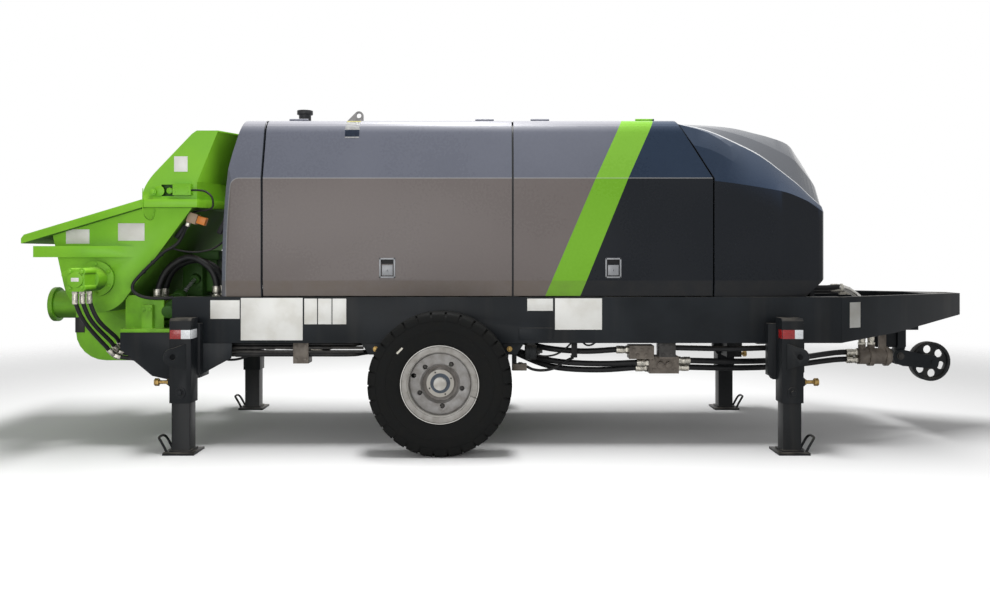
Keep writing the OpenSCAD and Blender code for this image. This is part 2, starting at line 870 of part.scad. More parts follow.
// The nose's lines at close stations
nose_scale = hood_rise / drawn_rise;
nose_at = route(nose_reach, nose_steps);
creases = route(crease_line, nose_steps);
ridges = route(ridge_line, nose_steps);
crowns = route(crown_line, nose_steps);
centres = route(centre_rise, nose_steps);
bulges = route(side_bulge, nose_steps);

// Half a section at a station, from the foot to the centre plane, as [distance from centre, height]
function nose_half(i) =
    let (c = creases[i], r = ridges[i], v = crowns[i], m = centres[i], b = bulges[i],
        groove = groove_down * min(1, i / 2 / nose_steps),
        upper = concat(
            [for (k = [0:3])
                let (t = k / 3)
                [c[0] + t * (r[0] - c[0]), c[1] + t * (r[1] - c[1]) + 4 * b * t * (1 - t)]],
            [[r[0] + groove_in, r[1] - groove], [(r[0] + v[0]) / 2, 0.38 * r[1] + 0.62 * v[1]], v,
             [(v[0] + half_w) / 2, 0.3 * v[1] + 0.7 * m], [half_w, m]]))
    concat([[half_w - c[0] - band_in, hood_foot], [half_w - c[0], band_z]],
        [for (p = upper) [half_w - p[0], crease_z + nose_scale * p[1]]]);

// Nose skin lofted through the stations, shrunk by an inset
module nose_form(inset) {
    last = len(nose_at) - 1;
    taper_from = 597;
    rows = [for (j = [0:last])
        let (x = nose_joint_x + nose_at[j]
                - inset * max(0, (nose_at[j] - taper_from) / (nose_at[last] - taper_from)),
            half = nose_half(j), n = len(half),
            low = [for (i = [0:n - 1]) [max(half[i][0] - inset, 0), half[i][1] - (i == 1 ? 0 : inset)]])
        [for (p = low) [x, -p[0], p[1]],
         for (i = [n - 2:-1:0]) [x, low[i][0], low[i][1]]]];
    count = len(rows[0]);
    points = [for (row = rows) each row];
    walls = [for (j = [0:last - 1]) for (i = [0:count - 1])
        let (a = j * count + i, b = j * count + (i + 1) % count)
        each [[a, b + count, a + count], [a, b, b + count]]];
    polyhedron(points, concat(walls, [[for (i = [count - 1:-1:0]) i]], [[for (i = [0:count - 1])
        last * count + i]]));
}

// Everything under the chamfer below the nose, raised by an amount
module below_chamfer(raise) {
    reach = 500;
    across(-half_w, half_w)
        polygon([[chamfer_x - raise / chamfer_rise, hood_foot - 2 * nose_t],
            [chamfer_x + reach, hood_foot - 2 * nose_t],
            [chamfer_x + reach, hood_foot + reach * chamfer_rise + raise],
            [chamfer_x - raise / chamfer_rise, hood_foot]]);
}

module nose() {
    color("#343f52")
    difference() {
        nose_form(0);
        difference() {
            nose_form(nose_t);
            below_chamfer(1.35 * nose_t);
        }
        up_to_joint(door_gap / 2);
        below_chamfer(0);
        block([nose_front_x - 100, nose_front_x + 1], [-grille_half, grille_half],
            [grille_z, grille_z + grille_h]);
    }
}

grille_edge = 18;

module nose_grille() {
    pitch = grille_h / grille_bars;
    back = nose_front_x - nose_t;
    color("#1c1e20")
    difference() {
        block([back - grille_t, back], [-grille_half - grille_edge, grille_half + grille_edge],
            [grille_z - grille_edge, grille_z + grille_h + grille_edge]);
        for (i = [0:grille_bars - 1])
            block([back - grille_t - 1, back + 1], [-grille_half + 10, grille_half - 10],
                [grille_z + pitch * i + 5, grille_z + pitch * (i + 1) - 5]);
    }
}

cap_x = -1330;
cap_y = -300;
cap_h = 70;
eye_x = -970;
eye_rise = 62;
eye_head = 30;
eye_half_t = 10;
lift_r = 16;

module roof_fittings() {
    color("#1f2123") {
        translate([cap_x, cap_y, roof_z]) cylinder(h = cap_h, r = 40);
        translate([cap_x, cap_y, roof_z + cap_h - weld]) cylinder(h = 26 + weld, r = 52);
        difference() {
            union() {
                rod_y(eye_x, [cap_y - eye_half_t, cap_y + eye_half_t], roof_z + eye_rise, eye_head);
                across(cap_y - eye_half_t, cap_y + eye_half_t)
                    polygon([[eye_x - 104, roof_z], [eye_x + eye_head, roof_z],
                        [eye_x + eye_head, roof_z + eye_rise],
                        [eye_x - 0.7 * eye_head, roof_z + eye_rise + 0.7 * eye_head]]);
            }
            rod_y(eye_x, [cap_y - 2 * eye_half_t, cap_y + 2 * eye_half_t], roof_z + eye_rise, lift_r);
        }
    }
}

// Engine and pumping unit

engine_x = [380, 1140];
engine_half = 300;
engine_drop = 450;

module engine() {
    color("#55595e") block(engine_x, [-engine_half, engine_half], [member_top, roof_z - engine_drop]);
}

tank_len = 700;
tank_half = 480;
tank_drop = 510;

module hydraulic_tank() {
    color("#6a6f75") block([tank_x, tank_x + tank_len], [-tank_half, tank_half],
        [member_top, roof_z - tank_drop]);
}

water_x = [axle_x - 59, axle_x + 291];
water_z = beam_z - 74;
delivery_r = 115;
main_r = 70;
main_end = 95;

module delivery_cylinders() {
    color("#70756f")
    both_sides() rod_x([box_front_x, water_x[0]], -pump_y, pump_z, delivery_r);
}

module water_box() {
    color("#70af2a") block(water_x, [-box_half, box_half], [water_z, member_z[0]]);
}

module main_cylinders() {
    color("#8d9296")
    both_sides() {
        rod_x([water_x[1], leg_front_x], -pump_y, pump_z, main_r);
        block([leg_front_x - member_w / 2, leg_front_x + member_w / 2],
            [-pump_y - main_end, -pump_y + main_end],
            [pump_z - main_end, member_z[0]]);
    }
}

// Hopper

module hopper_shell() {
    color("#70af2a")
    difference() {
        union() {
            across(-hopper_half, -hopper_half + wall_t) polygon(hopper_outline(0));
            across(hopper_half - wall_t, hopper_half) polygon(hopper_outline(0));
            across(-hopper_half + wall_t, hopper_half - wall_t)
                difference() {
                    polygon(hopper_outline(0));
                    polygon(hopper_outline(wall_t));
                }
            both_sides() {
                across(-hopper_half - rim_out, -hopper_half)
                    polygon([[rim_tip_x + tip_soft, rim_at(rim_tip_x + tip_soft)],
                        [rim_tip_x, rim_tip_z - tip_soft], [rim_tip_x, rim_tip_z - rim_h],
                        [rim_bend_x, rim_z - rim_h],
                        [rim_front_x, rim_z - rim_h], [rim_front_x, rim_z], [rim_bend_x, rim_z]]);
                translate([0, 0, ledge_z]) linear_extrude(ledge_h)
                    polygon([[ledge_rear_x, -hopper_half - rim_out],
                        [ledge_taper_x, -hopper_half - rim_out],
                        [ledge_front_x, -hopper_half + weld], [ledge_rear_x, -hopper_half + weld]]);
            }
            across(-hopper_half, hopper_half)
                difference() {
                    polygon([[rim_tip_x + tip_soft, rim_at(rim_tip_x + tip_soft)],
                        [rim_tip_x, rim_tip_z - tip_soft], [rim_tip_x, rim_tip_z - rim_h],
                        [rim_rear_x + 40, rim_at(rim_rear_x + 40) - rim_h],
                        [rim_rear_x + 40, rim_at(rim_rear_x + 40)]]);
                    polygon(hopper_outline(wall_t));
                }
            across(-hopper_half, hopper_half)
                difference() {
                    translate([ledge_rear_x, ledge_z]) square([agitator_x - ledge_rear_x, ledge_h]);
                    polygon(hopper_outline(wall_t));
                }
            translate([0, 0, rim_z - rim_h]) linear_extrude(rim_h)
                polygon([[shield_foot_x, -hopper_half - rim_out],
                    [shield_foot_x + 20, -hopper_half - rim_out],
                    [shield_foot_x + 20 + wing_level_x, -hopper_half + wing_in],
                    [shield_foot_x + 20 + wing_level_x, hopper_half - wing_in],
                    [shield_foot_x + 20, hopper_half + rim_out], [shield_foot_x, hopper_half + rim_out]]);
        }
        rod_y(agitator_x, [-hopper_half - 1, hopper_half + 1], agitator_z, shaft_r + 12);
    }
}

box_top = agitator_z - 95;
box_bend = 200;
box_drop = 188;

module valve_box() {
    color("#70af2a")
    across(-box_half, box_half)
        difference() {
            polygon(concat([[box_rear_x, box_top]],
                [for (i = [0:6])
                    let (a = 180 + 15 * i)
                    [box_rear_x + box_bend + box_bend * cos(a), box_z + box_drop + box_drop * sin(a)]],
                [[box_front_x, box_z], [box_front_x, beam_top - 80], [agitator_x, box_top]]));
            polygon(hopper_outline(0));
        }
}

gusset_y = hopper_half - 20;
gusset_t = 14;
gusset_h = 208;
gusset_drop = 25;
gusset_front_x = beam_rear_x - 79;
lug_x = [-2284, -2216];

// The plates that carry the hopper on the frame, with a low gusset under the trough and a lug on each side
module hopper_base() {
    floor_z = plate_top + base_t;
    color("#70af2a")
    both_sides() {
        block([plate_rear_x + 2, beam_rear_x - 7], [-half_w, -box_half], [plate_top, floor_z]);
        across(-gusset_y, -gusset_y + gusset_t)
            difference() {
                polygon([[plate_rear_x + 2, floor_z - weld], [gusset_front_x, floor_z - weld],
                    [gusset_front_x, floor_z + gusset_h - gusset_drop],
                    [plate_rear_x + 72, floor_z + gusset_h], [plate_rear_x + 2, floor_z + gusset_h]]);
                polygon(hopper_outline(0));
            }
        block(lug_x, [-gusset_y - 40, -gusset_y + weld], [floor_z - weld, agitator_z - 164]);
    }
}

module outlet_pipe() {
    color("#70af2a")
    difference() {
        union() {
            rod_x([outlet_x, outlet_x + 32], 0, outlet_z, outlet_r + 44);
            rod_x([outlet_x, box_rear_x], 0, outlet_z, outlet_r + 21);
            rod_x([box_rear_x - 36, box_rear_x], 0, outlet_z, outlet_r + 75);
        }
        rod_x([outlet_x - 1, box_rear_x - 20], 0, outlet_z, outlet_r);
    }
}

bearing_y = hopper_half;
shaft_end = hopper_half + 60;
paddle_pitch = 300;
paddle_reach = 150;

module agitator() {
    color("#5d615c") {
        rod_y(agitator_x, [-shaft_end, shaft_end], agitator_z, shaft_r);
        for (i = [0:3])
            translate([agitator_x, paddle_pitch * (i - 1.5), agitator_z]) rotate([0, 90 * i + 20, 0]) {
                cylinder(h = paddle_reach, r = 20);
                translate([0, 0, paddle_reach + 10]) rotate([0, 0, i % 2 == 0 ? 25 : -25])
                    cube([24, 190, 50], center = true);
            }
    }
}

bearing_flange = 24;

module bearing() {
    difference() {
        union() {
            rod_y(agitator_x, [-bearing_y - bearing_flange, -bearing_y], agitator_z, 112);
            rod_y(agitator_x, [-bearing_y - bearing_len, -bearing_y - bearing_flange + weld],
                agitator_z, 74);
        }
        rod_y(agitator_x, [-shaft_end - 5, -bearing_y + 1], agitator_z, shaft_r + running_gap);
    }
}

motor_w = 116;
motor_h = 140;
lobe_r = 22;
motor_back_y = -bearing_y - bearing_len;
motor_front_y = motor_back_y - motor_len;
motor_port_z = agitator_z - motor_h / 2;

// The motor's body: a square with four round lobes for its long screws, a face boss and a lever
module motor() {
    lobe_x = motor_w / 2 - lobe_r;
    lobe_z = motor_h / 2 - lobe_r;
    body_y = [motor_front_y, motor_back_y + weld];
    translate([agitator_x, 0, agitator_z]) {
        block([6 - motor_w / 2, motor_w / 2 - 6], body_y, [-lobe_z, lobe_z]);
        block([-lobe_x - 4, lobe_x + 4], body_y, [-motor_h / 2, motor_h / 2 - 6]);
        for (x = [-lobe_x, lobe_x])
            for (z = [-lobe_z, lobe_z])
                rod_y(x, body_y, z, lobe_r);
        rod_y(0, [motor_front_y - 12, motor_front_y + weld], 0, 46);
        block([-motor_w / 2 - 70, 8 - motor_w / 2], [motor_back_y - 60, motor_back_y - 20], [20, 46]);
    }
}

module agitator_drive() {
    color("#70af2a") {
        bearing();
        left() bearing();
        motor();
    }
}

bar_w = 14;
bar_h = 36;
bar_pitch = 118;

// The grate hangs from two pins in the shield's cheeks and lies inside the hopper's rim
module grate() {
    color("#70af2a")
    translate([grate_x, 0, grate_z]) rotate([0, -grate_slope, 0]) {
        both_sides() {
            rod_y(0, [-hopper_half - 14, weld - grate_half], 0, grate_pin_r);
            block([-2 * grate_pin_r, 2 * grate_pin_r], [-grate_half, -grate_half + bar_w],
                [-grate_drop - bar_h / 2, 2 * grate_pin_r]);
        }
        translate([0, 0, -grate_drop]) difference() {
            block([-grate_len, 26], [-grate_half, grate_half], [-bar_h / 2, bar_h / 2]);
            for (i = [0:9])
                for (x = [-grate_len + bar_w, -grate_len / 2 + bar_w / 2])
                    block([x, x + grate_len / 2 - 1.5 * bar_w],
                        [-grate_half + bar_w + bar_pitch * i, -grate_half + bar_pitch * (i + 1)],
                        [-bar_h, bar_h]);
        }
    }
}

// The front panel's plan: a web between two wings that run back to the cheeks
module shield_plan(reach) {
    polygon([[0, -hopper_half], [reach, -hopper_half + wing_in], [reach, hopper_half - wing_in],
        [0, hopper_half],
        [-shield_t, hopper_half], [reach - shield_t, hopper_half - wing_in],
        [reach - shield_t, -hopper_half + wing_in], [-shield_t, -hopper_half]]);
}

// A cheek in side view: a curved rear edge, a rounded top and the fold to the front panel
module cheek() {
    rear_edge = route([[rim_bend_x - 20, rim_z], [rim_bend_x - 11, rim_z + 65],
        [rim_bend_x + 33, rim_z + 141],
        [rim_bend_x + 113, rim_z + 229], [shield_top_x - 31, shield_top_z - 22]], 3);
    difference() {
        across(-hopper_half, -hopper_half + wall_t)
            polygon(concat(rear_edge, [[shield_top_x, shield_top_z], [shield_front_x, shield_top_z],
                [shield_foot_x, fold_z], [shield_foot_x, rim_z]]));
        rod_y(grate_x, [-hopper_half - 1, -hopper_half + wall_t + 1], grate_z, grate_pin_r + running_gap);
        block([shield_foot_x - 224, shield_foot_x - 144], [-hopper_half - 1, -hopper_half + wall_t + 1],
            [rim_z + 23, rim_z + 96]);
    }
}

module splash_shield() {
    color("#70af2a") {
        both_sides() cheek();
        translate([shield_foot_x, 0, rim_z]) linear_extrude(fold_z - rim_z + weld)
            shield_plan(wing_level_x);
        intersection() {
            translate([shield_foot_x, 0, fold_z]) rotate([0, shield_lean, 0])
                translate([0, 0, -wing_x]) linear_extrude(shield_top_z - rim_z + 2 * wing_x)
                    shield_plan(wing_x);
            block([rim_bend_x, shield_front_x + 2 * wing_x], [-hopper_half, hopper_half],
                [fold_z + weld / 2, shield_top_z]);
        }
        translate([0, 0, shield_top_z - shield_t]) linear_extrude(shield_t)
            polygon([[shield_top_x, -hopper_half], [shield_front_x, -hopper_half],
                [shield_front_x + wing_level_x, -hopper_half + wing_in],
                [shield_front_x + wing_level_x, hopper_half - wing_in], [shield_front_x, hopper_half],
                [shield_top_x, hopper_half]]);
        block([shield_foot_x - 144, shield_foot_x - 31], [-hopper_half - 28, -hopper_half + weld],
            [rim_z + 28, rim_z + 100]);
    }
}

swing_x = -2230;
swing_z = 830;
swing_port_z = swing_z + 78;

module swing_cylinders() {
    color("#70af2a")
    both_sides() {
        rod_y(swing_x, [-560, -box_half], swing_z, 55);
        rod_y(swing_x, [-585, -560], swing_z, 68);
        for (y = [-530, -400])
            translate([swing_x, y, swing_z]) cylinder(h = swing_port_z - swing_z, r = 26);
    }
}

// Hydraulics under the frame

valve_a_x = [789, 944];
valve_b_x = [969, 1073];
valve_c_x = [918, 1105];
valve_a_z = 600;
valve_c_z = 506;
rear_valve_x = [-1333, -1237];
pipe_y = -640;
pipe_r = 9;
casting_x = [2420, 2640];
casting_y = -130;
casting_z = beam_z - 142;
casting_r = 55;
port_x = [2450, 2512];
port_z = casting_z + 78;
hanger_x = [2566, 2612];

// Valve blocks under the right beam, the pipe run behind the wheel and the casting under the drawbar
module valve_blocks() {
    color("#7a7370") {
        block(rear_valve_x, [-650, -530], [beam_z - 133, beam_z]);
        for (z = [beam_z - 34, beam_z - 58])
            rod_x([leg_rear_x + saddle_half, axle_x - spring_half - 80], pipe_y, z, pipe_r);
        block(valve_a_x, [-620, -500], [valve_a_z - 54, valve_a_z + 30]);
        block(valve_b_x, [-660, -560], [beam_z - 102, beam_z]);
        block(valve_c_x, [-600, -480], [valve_c_z - 54, valve_c_z + 54]);
        rod_x(casting_x, casting_y, casting_z, casting_r);
        rod_x([casting_x[0] + 70, casting_x[0] + 100], casting_y, casting_z, casting_r + 12);
        rod_x([casting_x[1] - 40, casting_x[1] - 16], casting_y, casting_z, casting_r + 12);
        for (x = port_x)
            translate([x, casting_y, casting_z]) cylinder(h = port_z - casting_z, r = 25);
        across(casting_y - 12, casting_y + 12)
            polygon([[hanger_x[0], casting_z], [hanger_x[1], casting_z],
                [hanger_x[1], drawbar_bottom(hanger_x[1])],
                [hanger_x[0], drawbar_bottom(hanger_x[0])]]);
    }
}

motor_hose_r = 14;
swing_hose_r = 22;
swing_hose_x = member_x[0];

module hoses_rear() {
    color("#17181a") {
        for (i = [0:2]) {
            x = agitator_x + 26 * (i - 1);
            y = motor_front_y + 50 + 40 * i;
            end_y = 45 * i - hopper_half;
            end_z = beam_z - 114 + 30 * i;
            hose([[x, y, motor_port_z], [x, y, motor_port_z - 60], [x + 40, y + 30, motor_port_z - 185],
                [x + 100, -half_w + 30 * i, beam_z - 14 + 20 * i],
                [plate_rear_x - 20, end_y, beam_z - 94 + 20 * i],
                [leg_rear_x - 150, end_y, end_z], [leg_rear_x - saddle_half, end_y, end_z]], motor_hose_r);
        }
        for (i = [0, 1]) {
            y = -530 + 130 * i;
            hose([[swing_x, y, swing_port_z], [swing_x, y, swing_port_z + 60],
                [swing_x + 60, y, swing_port_z + 202],
                [swing_x + 205, y, swing_port_z + 285 - 20 * i], [swing_hose_x - 42, y, swing_port_z + 210],
                [swing_hose_x, y, member_top + 90], [swing_hose_x, y, member_top]], swing_hose_r);
        }
    }
}

frame_hose_r = 20;
top_hose_y = [-340, -250];
top_hose_z = [member_top + 58, member_top + 34];

module hoses_frame() {
    flat = [0, 0.2, 0.98];
    color("#17181a") {
        for (i = [0, 1]) {
            z = casting_z + 24 - 48 * i;
            y = -560 + 46 * i;
            start_z = valve_c_z + 24 - 48 * i;
            hose([[valve_c_x[1], y, start_z], [valve_c_x[1] + 90, y, start_z],
                [1500, -500 + 46 * i, start_z - 12], [1850, -370 + 46 * i, start_z - 16],
                [casting_x[0] - 150, casting_y, z], [casting_x[0], casting_y, z]], frame_hose_r, flat);
        }
        hose([[valve_a_x[0], -560, valve_a_z], [valve_a_x[0] - 90, -560, valve_a_z],
            [500, -530, valve_a_z - 14],
            [250, -470, valve_a_z + 4], [40, -330, 655], [water_x[1] + 70, -300, 655],
            [water_x[1], -300, 655]],
            frame_hose_r, flat);
        hose([[valve_c_x[0], -570, valve_c_z + 12], [valve_c_x[0] - 90, -570, valve_c_z + 12],
            [600, -530, valve_c_z],
            [300, -480, valve_c_z + 14], [60, -360, 580], [water_x[1] + 70, -300, 606],
            [water_x[1], -300, 606]],
            frame_hose_r, flat);
        hose([[valve_c_x[0], -520, valve_c_z - 26], [valve_c_x[0] - 90, -520, valve_c_z - 26],
            [600, -490, valve_c_z - 44], [300, -430, valve_c_z - 30], [60, -300, 560],
            [water_x[1] + 70, -250, 602], [water_x[1], -250, 602]], frame_hose_r, flat);
        for (i = [0, 1]) {
            y = -590 + 38 * i;
            hose([[rear_valve_x[1], y, beam_z - 54], [rear_valve_x[1] + 80, y, beam_z - 54],
                [-1000, y + 70, beam_z + 10], [-945, y + 150, beam_z + 126], [-945, y + 150, member_top]],
                motor_hose_r, [0.98, 0.2, 0.05]);
        }
        for (i = [0, 1])
            hose([[bulkhead_x[1], top_hose_y[i], top_hose_z[i]],
                [bulkhead_x[1] + 110, top_hose_y[i], top_hose_z[i]],
                [port_x[i] - 190, top_hose_y[i] + 20, top_hose_z[i]],
                [port_x[i] - 75, top_hose_y[i] + 70, top_hose_z[i] - 80],
                [port_x[i] - 14, casting_y - 24, top_hose_z[i] - 250], [port_x[i], casting_y, port_z + 60],
                [port_x[i], casting_y, port_z]], frame_hose_r, [0.1, 0.98, 0.15]);
    }
}

// Guide wheel

guide_plate_t = 12;
guide_pin_r = 14;
arm_y = guide_w / 2 + 8;

keel_half_t = 6;
keel_z = beam_z - 94;

module guide_bracket() {
    top = beam_z + 150;
    flange_low = drawbar_bottom(guide_pivot_x) - 40;
    color("#26292c") {
        difference() {
            union() {
                block([guide_pivot_x - 5, guide_pivot_x + 52], [-38, 38], [guide_pivot_z + 62, top]);
                across(-38, 38)
                    polygon([[guide_pivot_x - 30, guide_pivot_z], [guide_pivot_x - 5, guide_pivot_z + 70],
                        [guide_pivot_x + 52, guide_pivot_z + 70], [guide_pivot_x + 30, guide_pivot_z]]);
                rod_y(guide_pivot_x, [-38, 38], guide_pivot_z, 30);
                block([guide_pivot_x - 20, guide_pivot_x + 110], [-100, 100], [flange_low, top]);
            }
            across(-half_w, half_w)
                polygon([[guide_pivot_x - 150, drawbar_bottom(guide_pivot_x - 150)],
                    [guide_pivot_x + 150, drawbar_bottom(guide_pivot_x + 150)],
                    [guide_pivot_x + 150, top + 1],
                    [guide_pivot_x - 150, top + 1]]);
            rod_y(guide_pivot_x, [-50, 50], guide_pivot_z, guide_pin_r + running_gap);
        }
        across(-keel_half_t, keel_half_t)
            polygon([[drawbar_knee_x, drawbar_bottom(drawbar_knee_x)], [drawbar_knee_x, keel_z + 30],
                [drawbar_knee_x + 40, keel_z], [guide_pivot_x, keel_z],
                [guide_pivot_x, drawbar_bottom(guide_pivot_x)]]);
    }
}

module guide_arm() {
    color("#2b2e31") {
        for (side = [-1, 1])
            translate([0, side * (arm_y + guide_plate_t / 2), 0])
                across(-guide_plate_t / 2, guide_plate_t / 2)
                    polygon([[guide_pivot_x - 48, guide_pivot_z - 10],
                        [guide_pivot_x - 34, guide_pivot_z + 34],
                        [guide_pivot_x + 20, guide_pivot_z + 44], [guide_x - 60, guide_z + 52],
                        [guide_x + 20, guide_z + 44],
                        [guide_x + 46, guide_z + 8], [guide_x + 36, guide_z - 34],
                        [guide_x - 6, guide_z - 46],
                        [guide_pivot_x + 20, guide_pivot_z - 70],
                        [guide_pivot_x - 34, guide_pivot_z - 50]]);
        rod_y(guide_pivot_x, [-arm_y - guide_plate_t - 10, arm_y + guide_plate_t + 10],
            guide_pivot_z, guide_pin_r);
        rod_y(guide_x, [-arm_y - guide_plate_t - 8, arm_y + guide_plate_t + 8], guide_z, guide_pin_r);
    }
}

guide_web_r = guide_r - 20;
guide_hub_r = 38;
guide_hole_r = 28;
guide_hole_pcr = 84;

module guide_wheel() {
    w = guide_w / 2;
    color("#232528")
    translate([guide_x, 0, guide_z]) rotate([90, 0, 0])
        difference() {
            rotate_extrude()
                polygon([[guide_pin_r + running_gap, -w], [guide_hub_r, -w], [guide_hub_r, -10],
                    [guide_web_r, -10],
                    [guide_web_r, 6 - w], [guide_r - 6, -w], [guide_r, 8 - w], [guide_r, w - 8],
                    [guide_r - 6, w],
                    [guide_web_r, w - 6], [guide_web_r, 10], [guide_hub_r, 10], [guide_hub_r, w],
                    [guide_pin_r + running_gap, w]]);
            for (i = [0:5])
                rotate([0, 0, 40 + 60 * i]) translate([guide_hole_pcr, 0, -20])
                    cylinder(h = 40, r = guide_hole_r);
        }
}

side_beam_right();
side_beam_left();
rear_plates();
cross_members();
drawbar();
tow_eye();
leg_sleeve_rear_right();
leg_sleeve_rear_left();
leg_sleeve_front_right();
leg_sleeve_front_left();
leg_rear_right();
leg_rear_left();
leg_front_right();
leg_front_left();
axle();
leaf_springs();
spring_hangers();
tyre_right();
tyre_left();
rim_right();
rim_left();
hood_rear();
hood_roof();
hood_arch();
nose();
nose_grille();
roof_fittings();
door_rear_right();
door_front_right();
door_rear_left();
door_front_left();
engine();
hydraulic_tank();
delivery_cylinders();
water_box();
main_cylinders();
hopper_shell();
hopper_base();
valve_box();
outlet_pipe();
agitator();
agitator_drive();
grate();
splash_shield();
swing_cylinders();
valve_blocks();
hoses_rear();
hoses_frame();
guide_bracket();
guide_arm();
guide_wheel();
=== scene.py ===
import math

import bmesh
import bpy
from mathutils import Matrix, Vector


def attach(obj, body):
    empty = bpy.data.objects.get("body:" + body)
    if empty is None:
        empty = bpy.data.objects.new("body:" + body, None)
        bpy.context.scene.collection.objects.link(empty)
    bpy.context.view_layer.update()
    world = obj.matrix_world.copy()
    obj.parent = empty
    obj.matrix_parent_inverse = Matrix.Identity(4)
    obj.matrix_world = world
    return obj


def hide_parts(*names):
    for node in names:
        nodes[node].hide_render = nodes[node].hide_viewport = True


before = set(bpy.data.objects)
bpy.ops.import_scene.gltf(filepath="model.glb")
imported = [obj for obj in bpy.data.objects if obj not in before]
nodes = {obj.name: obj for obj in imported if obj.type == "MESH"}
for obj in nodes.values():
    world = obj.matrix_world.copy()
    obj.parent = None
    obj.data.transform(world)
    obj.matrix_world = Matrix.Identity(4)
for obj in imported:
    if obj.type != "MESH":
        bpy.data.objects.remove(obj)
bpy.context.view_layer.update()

scene = bpy.context.scene

# The stage: a pale floor that fades into a white surround, one soft lamp overhead and one in front,
# and a camera at chest height on the machine's right side.


class Finish:
    """One socket of a material's nodes, so that sums on it read as plain expressions."""

    def __init__(self, tree, socket):
        self.tree = tree
        self.socket = socket

    def node(self, kind, settings=None, sockets=None, out=0):
        made = self.tree.nodes.new(kind)
        for name, setting in (settings or {}).items():
            if name == "stops":
                while len(made.color_ramp.elements) < len(setting):
                    made.color_ramp.elements.new(1.0)
                for element, (at, colour) in zip(made.color_ramp.elements, setting):
                    element.position = at
                    element.color = colour
            else:
                setattr(made, name, setting)
        for name, given in (sockets or {}).items():
            if isinstance(given, Finish):
                self.tree.links.new(given.socket, made.inputs[name])
            else:
                made.inputs[name].default_value = given
        return Finish(self.tree, made.outputs[out])

    def math(self, operation, first, second=0.0):
        return self.node("ShaderNodeMath", {"operation": operation}, {0: first, 1: second})

    def __add__(self, other):
        return self.math("ADD", self, other)

    def __sub__(self, other):
        return self.math("SUBTRACT", self, other)

    def __rsub__(self, other):
        return self.math("SUBTRACT", other, self)

    def __mul__(self, other):
        return self.math("MULTIPLY", self, other)

    def __pow__(self, other):
        return self.math("POWER", self, other)

    __radd__ = __add__
    __rmul__ = __mul__

    def squared(self):
        return self * self

    def least(self, other):
        return self.math("MINIMUM", self, other)

    def most(self, other):
        return self.math("MAXIMUM", self, other)

    def below(self, limit):
        return self.math("LESS_THAN", self, limit)

    def rises(self, low, high):
        return self.node("ShaderNodeMapRange", {"interpolation_type": "SMOOTHSTEP"},
                         {"Value": self, "From Min": low, "From Max": high})

    def tints(self, first, second):
        return self.node("ShaderNodeMix", {"data_type": "RGBA"}, {0: self, 6: first, 7: second}, 2)

    def axis(self, name):
        return self.node("ShaderNodeSeparateXYZ", {}, {0: self}, name)

    def into(self, shader, name):
        self.tree.links.new(self.socket, shader.inputs[name])


def tint(red, green, blue):
    """A colour in steps from 0 to 255, as a screen shows it, turned into light."""
    shares = [part / 255 for part in (red, green, blue)]
    return tuple(s / 12.92 if s < 0.0404 else ((s + 0.055) / 1.055) ** 2.4 for s in shares) + (1.0,)


scene.view_settings.view_transform = "Standard"
camera = bpy.data.objects.new("camera", bpy.data.cameras.new("camera"))
scene.collection.objects.link(camera)
scene.camera = camera
camera.location = (-0.05, -6.49, 1.204)
camera.rotation_euler = (math.radians(90), 0, 0)
camera.data.sensor_width = 36
camera.data.lens = 33.75
camera.data.shift_x = -0.002
camera.data.shift_y = -0.0404

surround = bpy.data.worlds.new("surround")
scene.world = surround
surround.use_nodes = True
backdrop = surround.node_tree.nodes["Background"]
backdrop.inputs["Color"].default_value = (1, 1, 1, 1)
rays = surround.node_tree.nodes.new("ShaderNodeLightPath")
seen, mirrored, through = [Finish(surround.node_tree, rays.outputs[name])
                           for name in ("Is Camera Ray", "Is Glossy Ray", "Is Transmission Ray")]
sky_light = 0.34
(sky_light + (1 - sky_light) * seen.most(mirrored).most(through)).into(backdrop, "Strength")


def lamp(name, place, aim, size, power):
    """A soft rectangular lamp that points at a spot on the machine."""
    data = bpy.data.lights.new(name, "AREA")
    data.shape = "RECTANGLE"
    data.size, data.size_y = size
    data.energy = power
    made = bpy.data.objects.new(name, data)
    made.location = place
    made.rotation_euler = (Vector(aim) - Vector(place)).to_track_quat("-Z", "Y").to_euler()
    scene.collection.objects.link(made)


lamp("overhead_lamp", (-0.4, -0.1, 6.5), (0, 0, 0.5), (4.4, 1.3), 520)
lamp("front_lamp", (-2.5, -8.5, 1.8), (0, 0, 1.0), (5, 2.4), 172)

floor_radius, fade_from, fade_to = 14, 4.5, 9.0
floor_form = bmesh.new()
bmesh.ops.create_circle(floor_form, cap_ends=True, segments=96, radius=floor_radius)
floor = bpy.data.objects.new("floor", bpy.data.meshes.new("floor"))
floor_form.to_mesh(floor.data)
floor_form.free()
scene.collection.objects.link(floor)
floor_white = bpy.data.materials.new("floor_white")
floor_white.use_nodes = True
floor.data.materials.append(floor_white)
tree = floor_white.node_tree
plaster = tree.nodes["Principled BSDF"]
plaster.inputs["Base Color"].default_value = (0.92, 0.92, 0.92, 1)
plaster.inputs["Roughness"].default_value = 1.0
plaster.inputs["Specular IOR Level"].default_value = 0.0
spot = Finish(tree, tree.nodes.new("ShaderNodeTexCoord").outputs["Object"])
reach = spot.node("ShaderNodeVectorMath", {"operation": "LENGTH"}, {0: spot}, 1)
clear = tree.nodes.new("ShaderNodeBsdfTransparent")
fade = tree.nodes.new("ShaderNodeMixShader")
reach.rises(fade_from, fade_to).into(fade, 0)
tree.links.new(plaster.outputs[0], fade.inputs[1])
tree.links.new(clear.outputs[0], fade.inputs[2])
tree.links.new(fade.outputs[0], tree.nodes["Material Output"].inputs["Surface"])

